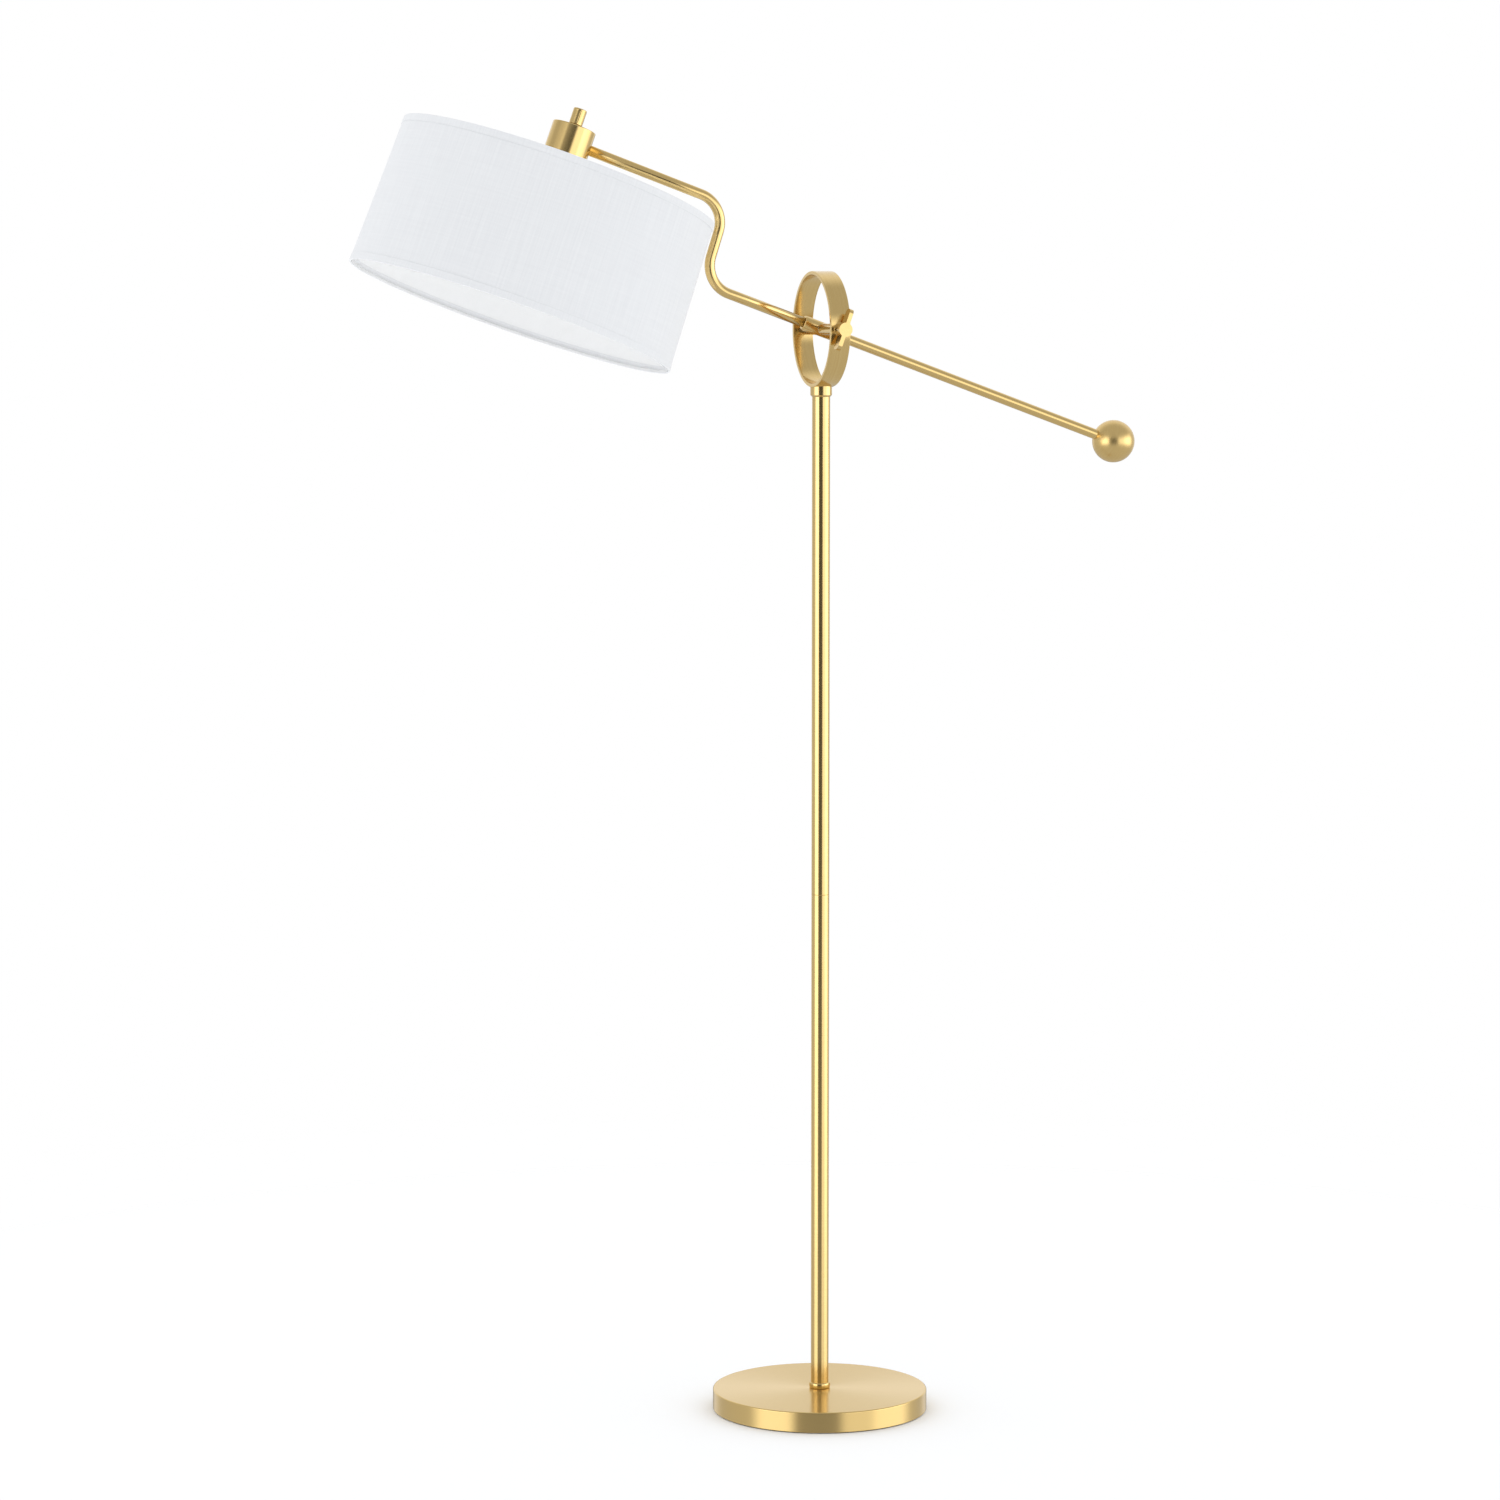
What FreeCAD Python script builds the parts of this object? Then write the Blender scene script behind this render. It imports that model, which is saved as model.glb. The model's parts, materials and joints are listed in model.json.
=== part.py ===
# Floor lamp with a counterbalanced pivoting arm: a turned disc base, a two-piece pole, a ring
# on top of the pole, and an arm that tilts inside the ring with a drum shade at one end and a
# ball at the other. Millimetres, +Z up. The origin is the centre of the underside of the base.
# The arm swings in the XZ plane, with the shade on -X and the ball on +X.
import FreeCAD, Part
import Sketcher
import math
import os
import re

Vector = FreeCAD.Vector
Rotation = FreeCAD.Rotation
Placement = FreeCAD.Placement

# Driving sizes in millimetres and degrees: name, value, what it is.
SIZES = [
    ("base_radius", 134.0, "outer radius of the base cover"),
    ("base_height", 26.2, "floor to the top of the base cover"),
    ("cover_wall", 1.4, "sheet thickness of the base cover"),
    ("cover_edge", 1.6, "rounding of the upper edge of the cover"),
    ("felt_thick", 2.2, "felt under the base"),
    ("felt_inset", 3.0, "felt radius is this much less than the base"),
    ("skirt_gap", 1.0, "floor to the lower edge of the base cover"),
    ("slip", 0.3, "clearance round loose pieces inside the base"),
    ("recess_radius", 30.0, "pocket under the middle of the weight"),
    ("recess_depth", 17.8, "depth of that pocket above the felt"),
    ("channel_width", 15.0, "lead channel under the weight"),
    ("channel_depth", 15.8, "depth of that channel above the felt"),
    ("inlet_height", 12.2, "centre of the cord inlet above the floor"),
    ("inlet_body", 5.7, "radius of the inlet bushing in the cover"),
    ("inlet_bore", 3.3, "radius of the hole that a cord enters by"),
    ("inlet_flange", 7.6, "radius of the bushing flange"),
    ("flange_thick", 2.6, "thickness of the bushing flange"),
    ("inlet_reach", 12.0, "how far the bushing reaches inside the cover"),
    ("block_length", 22.0, "terminal block"),
    ("block_width", 12.0, "terminal block"),
    ("block_height", 10.0, "terminal block"),
    ("block_start", 70.0, "pole axis to the near end of the terminal block"),
    ("nipple_radius", 5.0, "threaded tube that holds the pole down"),
    ("nipple_bore", 3.5, "hole through the threaded tube"),
    ("nipple_low", 10.6, "floor to the lower end of the threaded tube"),
    ("nipple_rise", 24.0, "threaded tube above the base cover"),
    ("thread_gap", 0.05, "radial clearance of threads and slip fits"),
    ("washer_radius", 17.0, "clamp washer under the weight"),
    ("washer_thick", 2.4, "clamp washer under the weight"),
    ("nut_across", 17.0, "base nut across its flats"),
    ("nut_thick", 6.6, "thickness of the base nut"),
    ("pole_radius", 11.1, "outer radius of the pole"),
    ("pole_wall", 1.5, "wall of the pole tubes"),
    ("seam_height", 650.3, "floor to the joint of the two pole tubes"),
    ("coupler_half", 24.0, "half the length of the coupler in the pole"),
    ("coupler_bore", 5.5, "hole through the coupler"),
    ("bead_step", 1.1, "ends of the foot bead proud of the pole"),
    ("bead_height", 7.6, "height of the foot bead"),
    ("bead_curve", 7.0, "radius of the bead's rounded outside"),
    ("pivot_height", 1349.6, "floor to the pivot at the ring's centre"),
    ("ring_radius", 71.0, "outer radius of the ring"),
    ("ring_width", 25.4, "width of the ring band along its axis"),
    ("ring_depth", 4.4, "thickness of the ring band"),
    ("ring_skin", 0.9, "sheet thickness of the ring's two bands"),
    ("ring_side", 1.2, "thickness of the ring's two edges"),
    ("neck_step", 2.25, "neck under the ring proud of the pole"),
    ("neck_length", 11.6, "neck below the lowest point of the ring"),
    ("neck_bevel", 2.0, "bevel at the lower edge of the neck"),
    ("neck_bore", 7.0, "lead hole through the neck"),
    ("spigot_length", 18.0, "neck spigot inside the pole"),
    ("lead_radius", 1.2, "radius of the internal lead"),
    ("axle_radius", 4.0, "hollow axle across the ring"),
    ("axle_bore", 2.3, "hole through the axle"),
    ("axle_short", 0.82, "end of the axle to the end of the tension knob's insert"),
    ("axle_clear", 1.0, "end of the axle to the closed end of the cap nut"),
    ("entry_clear", 0.72, "room round the lead where it enters the axle"),
    ("exit_side", 0.6, "centre of the axle to the cut that the lead leaves by"),
    ("exit_land", 0.4, "a bush to that cut"),
    ("cut_extra", 1.0, "how far some cuts run past what they cut"),
    ("run_gap", 0.05, "radial clearance of a turning fit"),
    ("spacer_radius", 7.2, "spacer tubes on the axle"),
    ("face_gap", 0.1, "clearance between turning faces"),
    ("knob_gap", 0.3, "clearance under the tension knob"),
    ("cap_radius", 8.0, "cap nut at the far end of the axle"),
    ("cap_length", 8.6, "depth of the cap nut"),
    ("cap_crown", 1.4, "metal over the bore of the cap nut"),
    ("cap_side", 4.3, "straight side of the cap nut"),
    ("cap_curve", 6.0, "rounding between that side and the flat end"),
    ("cap_flat", 3.2, "radius of the cap nut's flat end"),
    ("knob_washer_radius", 9.0, "washer under the tension knob"),
    ("knob_washer_thick", 1.5, "washer under the tension knob"),
    ("knob_boss", 8.5, "radius of the tension knob's boss"),
    ("knob_height", 16.4, "height of the tension knob"),
    ("knob_crown", 4.1, "metal over the tension knob's insert"),
    ("insert_wall", 1.6, "wall of the threaded insert"),
    ("wing_span", 52.0, "tip to tip across the wings"),
    ("wing_thick", 5.0, "thickness of the wings"),
    ("wing_corner", 6.0, "corner radius of the wings"),
    ("wing_lift", 1.6, "wings start this far above the knob's face"),
    ("arm_angle", 19.9, "tilt of the arm at rest, shade end up, degrees"),
    ("arm_radius", 6.35, "outer radius of the arm tube and rod"),
    ("arm_wall", 1.2, "wall of the arm tube"),
    ("sleeve_wall", 2.55, "pivot sleeve round the arm"),
    ("sleeve_half", 25.0, "half the length of the pivot sleeve"),
    ("sleeve_bevel", 0.8, "bevel at the sleeve's two ends"),
    ("sleeve_web", 8.0, "sleeve centre to the ends of tube and rod"),
    ("lead_slack", 1.8, "room round the lead inside the sleeve"),
    ("flat_depth", 0.7, "how far the sleeve's side faces are milled in"),
    ("face_radius", 7.6, "radius of the milled side faces"),
    ("bush_radius", 5.5, "outer radius of the bushes in the sleeve"),
    ("bush_start", 2.6, "sleeve centre to the inner end of a bush"),
    ("friction_thick", 0.8, "friction washers"),
    ("friction_radius", 7.0, "friction washers"),
    ("riser_gap", 12.8, "edge of the shade to the foot of the arm's riser"),
    ("riser_lean", 2.3, "lean of the riser away from the pivot, degrees"),
    ("riser_height", 101.0, "upper arm above the lower arm"),
    ("bend_radius", 36.0, "centreline radius of the arm's two bends"),
    ("shade_reach", 378.5, "pivot to the shade axis along the arm"),
    ("ball_reach", 415.0, "pivot to the ball's centre along the arm"),
    ("ball_radius", 26.6, "counterweight ball"),
    ("ball_seat", 22.0, "ball centre to the end of the rod"),
    ("stud_radius", 4.0, "threaded stud between rod and ball"),
    ("stud_half", 18.0, "half the length of that stud"),
    ("hub_radius", 26.75, "outer radius of the hub"),
    ("hub_over", 20.0, "upper arm to the hub's top"),
    ("hub_under", 55.0, "upper arm to the hub's lower face"),
    ("hub_wall", 1.4, "wall of the hub"),
    ("hub_edge", 1.2, "rounding of the hub's upper edge"),
    ("plate_thick", 2.0, "plate that closes the hub"),
    ("locknut_radius", 9.5, "round nut on the arm inside the hub"),
    ("locknut_thick", 4.0, "round nut on the arm inside the hub"),
    ("locknut_land", 0.4, "end of the arm tube past that nut"),
    ("stub_length", 8.0, "lamp holder's threaded tube above the hub's plate"),
    ("holder_nut_across", 14.0, "nut on that tube, across its flats"),
    ("holder_nut_thick", 5.0, "thickness of that nut"),
    ("switch_radius", 11.0, "rotary switch"),
    ("switch_length", 23.0, "rotary switch under the hub's top"),
    ("switch_floor", 2.5, "closed lower end of the switch"),
    ("switch_neck", 4.9, "threaded neck of the switch"),
    ("neck_rise", 4.2, "switch neck above the hub"),
    ("shaft_radius", 3.0, "switch shaft"),
    ("switch_nut_radius", 8.0, "round nut on the switch neck"),
    ("switch_nut_thick", 2.6, "round nut on the switch neck"),
    ("turn_radius", 8.25, "turn knob on the hub"),
    ("turn_length", 19.6, "turn knob on the hub"),
    ("turn_edge", 1.4, "rounding of the turn knob's top"),
    ("turn_socket", 15.0, "depth of the shaft hole in the turn knob"),
    ("holder_radius", 19.2, "lamp holder"),
    ("holder_length", 40.0, "lamp holder below the hub"),
    ("holder_roof", 7.0, "thickness of the holder's closed end"),
    ("holder_step", 2.8, "shoulder that the shade fitter meets"),
    ("shoulder_thick", 3.0, "thickness of that shoulder"),
    ("cavity_radius", 14.6, "space inside the lamp holder"),
    ("shell_radius", 13.9, "outside of the screw shell"),
    ("shell_wall", 0.6, "sheet thickness of the screw shell"),
    ("shell_inset", 2.0, "screw shell back from both ends of the holder's inside"),
    ("contact_radius", 3.0, "centre contact"),
    ("contact_gap", 1.0, "centre contact to the screw shell"),
    ("contact_drop", 4.0, "centre contact below the screw shell's closed end"),
    ("fitter_wall", 6.8, "fitter ring round the lamp holder"),
    ("fitter_thick", 1.8, "thickness of the fitter ring"),
    ("retainer_wall", 5.3, "screw ring below the fitter ring"),
    ("retainer_thick", 4.2, "screw ring below the fitter ring"),
    ("shade_radius", 203.2, "outside of the shade at its bottom edge"),
    ("shade_taper", 6.35, "how much less the shade's radius is at the top"),
    ("shade_drop", 36.5, "upper arm to the top of the shade"),
    ("shade_height", 185.0, "height of the shade"),
    ("trim_thick", 0.5, "tape folded over the shade's edges"),
    ("trim_height", 9.0, "height of that tape"),
    ("linen_thick", 0.6, "outer fabric"),
    ("liner_thick", 0.9, "stiff white lining"),
    ("wire_radius", 1.6, "wire rings inside the shade"),
    ("spoke_radius", 2.0, "rods of the shade's spider"),
    ("spoke_turn", 30.0, "first rod, turned from the hub's own +X, degrees"),
    ("bulb_gap", 0.2, "bulb's tip to the centre contact"),
    ("bulb_cap_radius", 13.2, "screw cap of the bulb"),
    ("bulb_cap_length", 26.0, "screw cap of the bulb"),
    ("cap_lip", 1.0, "screw cap drawn in at its lower edge"),
    ("lip_height", 3.0, "height over which it is drawn in"),
    ("cone_height", 6.0, "screw cap's cone with the tip"),
    ("tip_foot", 5.0, "radius of the tip where the cone ends"),
    ("tip_radius", 4.0, "radius of the tip's flat end"),
    ("tip_height", 2.0, "height of the tip"),
    ("collar_length", 8.0, "glass neck below the screw cap"),
    ("collar_flare", 0.3, "how much that neck widens"),
    ("cheek_angle", 30.0, "where the neck meets the round part, degrees above its centre"),
    ("bulb_radius", 30.0, "round part of the bulb"),
    ("bulb_under", 147.0, "upper arm to the centre of the bulb's round part"),
    ("bulb_wall", 0.8, "glass of the bulb"),
    ("lead_lift", 1.0, "internal lead above the felt, beside the usual clearance"),
    ("block_bend", 30.0, "bend of the internal lead where it leaves the terminal block"),
    ("recess_bend", 12.0, "bend where it comes down into the recess"),
    ("rising_bend", 6.0, "bend where it turns up the pole"),
    ("swing_bend", 7.8, "bend where it turns into the ring"),
    ("tight_bend", 3.6, "bend where it turns into the axle"),
]
SPOKES = 3
SMALLEST_CUT = 0.01
VOLUME_SLACK = 0.01

# Places and sizes that several pieces share.
BEAD_RADIUS = "(pole_radius + bead_step)"
NECK_RADIUS = "(pole_radius + neck_step)"
SLEEVE_RADIUS = "(arm_radius + sleeve_wall)"
SLEEVE_FLAT = "(arm_radius + sleeve_wall - flat_depth)"
RISER_REACH = "(shade_reach - shade_radius - riser_gap)"
HUB_TOP = "(riser_height + hub_over)"
HUB_BOTTOM = "(riser_height - hub_under)"
SHADE_TOP = "(riser_height - shade_drop)"
BULB_MIDDLE = "(riser_height - bulb_under)"
HOLDER_FLANGE = "(holder_radius + holder_step)"
RETAINER_RADIUS = "(holder_radius + retainer_wall)"
FITTER_RADIUS = "(holder_radius + fitter_wall)"
NUT_SEAT = "(sqrt((hub_radius - hub_wall) ^ 2 - locknut_radius ^ 2) - slip - locknut_thick)"
TUBE_END = f"({NUT_SEAT} - locknut_land)"
RECESS_TOP = "(felt_thick + recess_depth)"
WEIGHT_TOP = "(base_height - cover_wall)"
NECK_LOW = "(pivot_height - ring_radius - neck_length)"
RING_INNER = "(ring_radius - ring_depth)"
LINER_OUTER = "(ring_radius - ring_depth + ring_skin)"
WEB_INNER = "(ring_radius - ring_skin)"
POLE_INNER = "(pole_radius - pole_wall)"
SPACER_END = "sqrt((ring_radius - ring_depth) ^ 2 - spacer_radius ^ 2)"
WASHER_END = f"({SLEEVE_FLAT} + friction_thick)"
KNOB_FOOT = "(ring_radius + knob_washer_thick + knob_gap)"
HOLDER_LOW = f"({HUB_BOTTOM} - holder_length)"
HOLDER_CEILING = f"({HUB_BOTTOM} - holder_roof)"
SHELL_TOP = f"({HUB_BOTTOM} - holder_roof - shell_inset)"
FITTER_TOP = f"({HUB_BOTTOM} - shoulder_thick)"
FITTER_LOW = f"({HUB_BOTTOM} - shoulder_thick - fitter_thick)"
SHADE_LOW = f"({SHADE_TOP} - shade_height)"
# Insets of the shade's layers from its outer face.
LINEN_OUTER = "trim_thick"
LINEN_INNER = "(trim_thick + linen_thick)"
LINER_INNER = "(trim_thick + linen_thick + liner_thick)"
TAPE_INNER = "(2 * trim_thick + linen_thick + liner_thick)"
WIRE_CENTRE = f"({TAPE_INNER} + wire_radius * sqrt(1 + (shade_taper / shade_height) ^ 2))"
# Heights of the shade's spider and the switch.
SPOKE_LOW = f"({HUB_BOTTOM} - shoulder_thick - fitter_thick / 2)"
SPOKE_HIGH = f"({SHADE_TOP} - trim_thick - wire_radius)"
SWITCH_TOP = f"({HUB_TOP} - hub_wall)"
SWITCH_NUT_TOP = f"({HUB_TOP} + switch_nut_thick)"
TURN_LOW = f"({HUB_TOP} + neck_rise + knob_gap)"

doc = FreeCAD.newDocument("floor_lamp")
sheet = doc.addObject("Spreadsheet::Sheet", "sizes")
for row, (name, amount, note) in enumerate(SIZES, start=1):
    sheet.set(f"A{row}", name)
    sheet.set(f"B{row}", str(amount))
    sheet.set(f"C{row}", note)
    sheet.setAlias(f"B{row}", name)
doc.recompute()

NAMES = {name for name, amount, note in SIZES}
parts = []


def value(expression):
    """The number that an expression of the sheet's names gives."""
    return float(sheet.evalExpression(expression))


def bound(expression):
    """The same expression as other objects read it, with the sheet's name in front."""
    return re.sub(r"[a-z_]+", lambda m: "sizes." + m[0] if m[0] in NAMES else m[0], expression)


def finish(thing, label):
    """Names a sub-part and puts it on the list that is checked and exported."""
    thing.Label = label
    parts.append(thing)
    return thing


def place(thing, x="0", y="0", z="0", axis=Vector(0, 0, 1), angle="0"):
    """Puts a sub-part at a place in the lamp, turned about one of the lamp's own axes."""
    some_turn = 10
    thing.Placement = Placement(Vector(0, 0, 0), Rotation(axis, some_turn))  # sets the axis
    thing.setExpression(".Placement.Base.x", bound(x))
    thing.setExpression(".Placement.Base.y", bound(y))
    thing.setExpression(".Placement.Base.z", bound(z))
    thing.setExpression(".Placement.Rotation.Angle", bound(angle))


def place_on_arm(thing, along="0", rise="0", quarter=0):
    """Puts a sub-part on the tilted arm: along towards the ball, rise square to the arm."""
    turn = "arm_angle * 1 deg"
    x = f"({along}) * cos({turn}) + ({rise}) * sin({turn})"
    z = f"pivot_height - ({along}) * sin({turn}) + ({rise}) * cos({turn})"
    place(thing, x, "0", z, Vector(0, 1, 0), f"arm_angle + {quarter}")


def place_on_axle(thing, angle="90"):
    """Puts a sub-part on the axle, its own Z pointing out of the ring's near side (-Y)."""
    place(thing, "0", "0", "pivot_height", Vector(1, 0, 0), angle)


def sketch_on(body, plane, name, offset="0"):
    """A sketch on one of the body's own origin planes, moved out along the plane's normal."""
    sketch = body.newObject("Sketcher::SketchObject", name)
    support = [f for f in body.Origin.OriginFeatures if f.Role == plane][0]
    sketch.AttachmentSupport = [(support, "")]
    sketch.MapMode = "FlatFace"
    sketch.setExpression("AttachmentOffset.Base.z", bound(offset))
    return sketch


def hold_point(sketch, edge, end, x, y, tag):
    """Ties one end of an edge to its two coordinates in the sheet."""
    for letter, kind, expression, axis in (("x", "DistanceX", x, -2), ("y", "DistanceY", y, -1)):
        if expression == "0":
            sketch.addConstraint(Sketcher.Constraint("PointOnObject", edge, end, axis))
            continue
        index = sketch.addConstraint(Sketcher.Constraint(kind, -1, 1, edge, end, value(expression)))
        sketch.renameConstraint(index, letter + tag)
        sketch.setExpression("Constraints." + letter + tag, bound(expression))


def arc_between(start, end, radius, side):
    """Arc from start to end, bulging to the left (side 1) or the right (side -1) of the way."""
    chord = end - start
    half = chord.Length / 2
    left = Vector(-chord.y, chord.x, 0).normalize()
    centre = (start + end) * 0.5 - left * (side * math.sqrt(radius ** 2 - half ** 2))
    first = math.atan2(start.y - centre.y, start.x - centre.x)
    last = math.atan2(end.y - centre.y, end.x - centre.x)
    if side > 0:
        first, last = last, first
    if last < first:
        last += 2 * math.pi
    return Part.ArcOfCircle(Part.Circle(centre, Vector(0, 0, 1), radius), first, last)


def outline(sketch, points):
    """Closed outline. A point is (x, y), or (x, y, radius, side) where an arc leaves it."""
    spots = [Vector(value(p[0]), value(p[1]), 0) for p in points]
    count = len(points)
    ends = []
    for i, point in enumerate(points):
        start, end = spots[i], spots[(i + 1) % count]
        if len(point) == 2:
            sketch.addGeometry(Part.LineSegment(start, end), False)
            ends.append((1, 2))
        else:
            sketch.addGeometry(arc_between(start, end, value(point[2]), point[3]), False)
            ends.append((1, 2) if point[3] < 0 else (2, 1))
    for i in range(count):
        following = (i + 1) % count
        sketch.addConstraint(
            Sketcher.Constraint("Coincident", i, ends[i][1], following, ends[following][0]))
    for i, point in enumerate(points):
        hold_point(sketch, i, ends[i][0], point[0], point[1], str(i))
        if len(point) == 4:
            index = sketch.addConstraint(Sketcher.Constraint("Radius", i, value(point[2])))
            sketch.renameConstraint(index, f"arc{i}")
            sketch.setExpression(f"Constraints.arc{i}", bound(point[2]))


def turned(label, points):
    """A piece turned about its own Z from an outline of (radius, height) points."""
    body = doc.addObject("PartDesign::Body", label)
    sketch = sketch_on(body, "XZ_Plane", label + "_profile")
    outline(sketch, points)
    turn = body.newObject("PartDesign::Revolution", label + "_turn")
    turn.Profile = sketch
    turn.ReferenceAxis = (sketch, ["V_Axis"])
    turn.Angle = 360
    return finish(body, label)


def ring(label, inner, outer, low, high):
    """A plain turned ring or washer."""
    return turned(label, [(inner, low), (outer, low), (outer, high), (inner, high)])


def cut(body, sketch, depth=None, both=False, backwards=False):
    """Pockets a sketch through the body, and makes sure that it really removed something."""
    doc.recompute()
    before = body.Shape.Volume
    pocket = body.newObject("PartDesign::Pocket", sketch.Name + "_cut")
    pocket.Profile = sketch
    pocket.SideType = "Symmetric" if both else "One side"
    pocket.Type = "ThroughAll" if depth is None else "Length"
    pocket.Reversed = backwards
    if depth is not None:
        pocket.setExpression("Length", bound(depth))
    doc.recompute()
    assert body.Shape.Volume < before - SMALLEST_CUT, sketch.Name + " cuts nothing"
    return body


def hole(body, plane, name, centre, radius, offset="0", **how):
    """A round hole whose axis is square to one of the body's origin planes."""
    sketch = sketch_on(body, plane, name, offset)
    spot = Vector(value(centre[0]), value(centre[1]), 0)
    sketch.addGeometry(Part.Circle(spot, Vector(0, 0, 1), value(radius)), False)
    hold_point(sketch, 0, 3, centre[0], centre[1], "0")
    index = sketch.addConstraint(Sketcher.Constraint("Radius", 0, value(radius)))
    sketch.renameConstraint(index, "radius")
    sketch.setExpression("Constraints.radius", bound(radius))
    return cut(body, sketch, **how)


def slot(body, plane, name, low, high, offset="0", **how):
    """A rectangular cut between two corners, square to one of the body's origin planes."""
    sketch = sketch_on(body, plane, name, offset)
    outline(sketch, [(low[0], low[1]), (high[0], low[1]), (high[0], high[1]), (low[0], high[1])])
    return cut(body, sketch, **how)


def block(label, length, width, height):
    """A plain rectangular block."""
    box = doc.addObject("Part::Box", label)
    for name, expression in (("Length", length), ("Width", width), ("Height", height)):
        box.setExpression(name, bound(expression))
    return finish(box, label)


def hex_nut(label, across, bore, thick):
    """A six-sided nut standing on its own XY plane."""
    prism = doc.addObject("Part::Prism", label + "_blank")
    prism.Polygon = 6
    prism.setExpression("Circumradius", bound(f"{across} / sqrt(3)"))
    prism.setExpression("Height", bound(thick))
    bore_tool = doc.addObject("Part::Cylinder", label + "_bore")
    bore_tool.setExpression("Radius", bound(bore))
    bore_tool.setExpression("Height", bound(thick))
    nut = doc.addObject("Part::Cut", label)
    nut.Base = prism
    nut.Tool = bore_tool
    return finish(nut, label)


def group(label, members):
    """Identical pieces that share one node."""
    compound = doc.addObject("Part::Compound", label)
    compound.Links = members
    for member in members:
        parts.remove(member)
    return finish(compound, label)


def fixed_shape(label, shape):
    """A sub-part whose shape comes from Part's own functions."""
    feature = doc.addObject("Part::Feature", label)
    feature.Shape = shape
    return finish(feature, label)


# ---------------------------------------------------------------- base

def make_base():
    felt_radius = "base_radius - felt_inset"
    turned("base_felt", [("0", "0"), (felt_radius, "0"), (felt_radius, "felt_thick"),
                         ("0", "felt_thick")])
    bore = "nipple_radius + thread_gap + slip"
    outer = "base_radius - cover_wall - slip"
    weight = turned("base_weight", [
        (bore, RECESS_TOP), ("recess_radius", RECESS_TOP), ("recess_radius", "felt_thick"),
        (outer, "felt_thick"), (outer, WEIGHT_TOP), (bore, WEIGHT_TOP)])
    slot(weight, "XY_Plane", "lead_channel", ("-channel_width / 2", "recess_radius / 2"),
         ("channel_width / 2", "base_radius"), offset="felt_thick", depth="channel_depth",
         backwards=True)
    inner = "base_radius - cover_wall"
    cover = turned("base_cover", [
        (bore, WEIGHT_TOP), (inner, WEIGHT_TOP), (inner, "skirt_gap"), ("base_radius", "skirt_gap"),
        ("base_radius", "base_height - cover_edge", "cover_edge", -1),
        ("base_radius - cover_edge", "base_height"), (bore, "base_height")])
    hole(cover, "XZ_Plane", "inlet_hole", ("0", "inlet_height"), "inlet_body + thread_gap",
         backwards=False)


def make_base_fixings():
    turned("base_nipple", [
        ("nipple_bore", "nipple_low"), ("nipple_radius", "nipple_low"),
        ("nipple_radius", "base_height + nipple_rise"), ("nipple_bore", "base_height + nipple_rise")])
    washer_low = f"{RECESS_TOP} - washer_thick"
    ring("base_washer", "nipple_radius + thread_gap + slip", "washer_radius", washer_low, RECESS_TOP)
    nut = hex_nut("base_nut", "nut_across", "nipple_radius + thread_gap", "nut_thick")
    place(nut, z=f"{washer_low} - nut_thick")
    inlet = turned("cord_inlet", [
        ("inlet_bore", "-inlet_reach"), ("inlet_body", "-inlet_reach"), ("inlet_body", "0"),
        ("inlet_flange", "0"), ("inlet_flange", "flange_thick * 0.5"),
        ("inlet_flange - flange_thick * 0.5", "flange_thick"), ("inlet_bore", "flange_thick")])
    place(inlet, y="base_radius", z="inlet_height", axis=Vector(1, 0, 0), angle="-90")
    terminal = block("terminal_block", "block_width", "block_length", "block_height")
    place(terminal, x="-block_width / 2", y="block_start", z="felt_thick + slip")


# ---------------------------------------------------------------- pole and ring

def make_pole():
    plug_low = "base_height + slip"
    plug_top = "base_height + nipple_rise + slip"
    ring("pole_foot_plug", "nipple_radius + thread_gap", f"{POLE_INNER} - thread_gap",
         plug_low, plug_top)
    ring("pole_lower", POLE_INNER, "pole_radius", "base_height", "seam_height")
    ring("pole_upper", POLE_INNER, "pole_radius", "seam_height", NECK_LOW)
    ring("pole_coupler", "coupler_bore", f"{POLE_INNER} - thread_gap",
         "seam_height - coupler_half", "seam_height + coupler_half")
    bead_bore = "pole_radius + thread_gap"
    turned("foot_bead", [
        (bead_bore, "base_height"), (BEAD_RADIUS, "base_height", "bead_curve", -1),
        (BEAD_RADIUS, "base_height + bead_height"), (bead_bore, "base_height + bead_height")])


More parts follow.
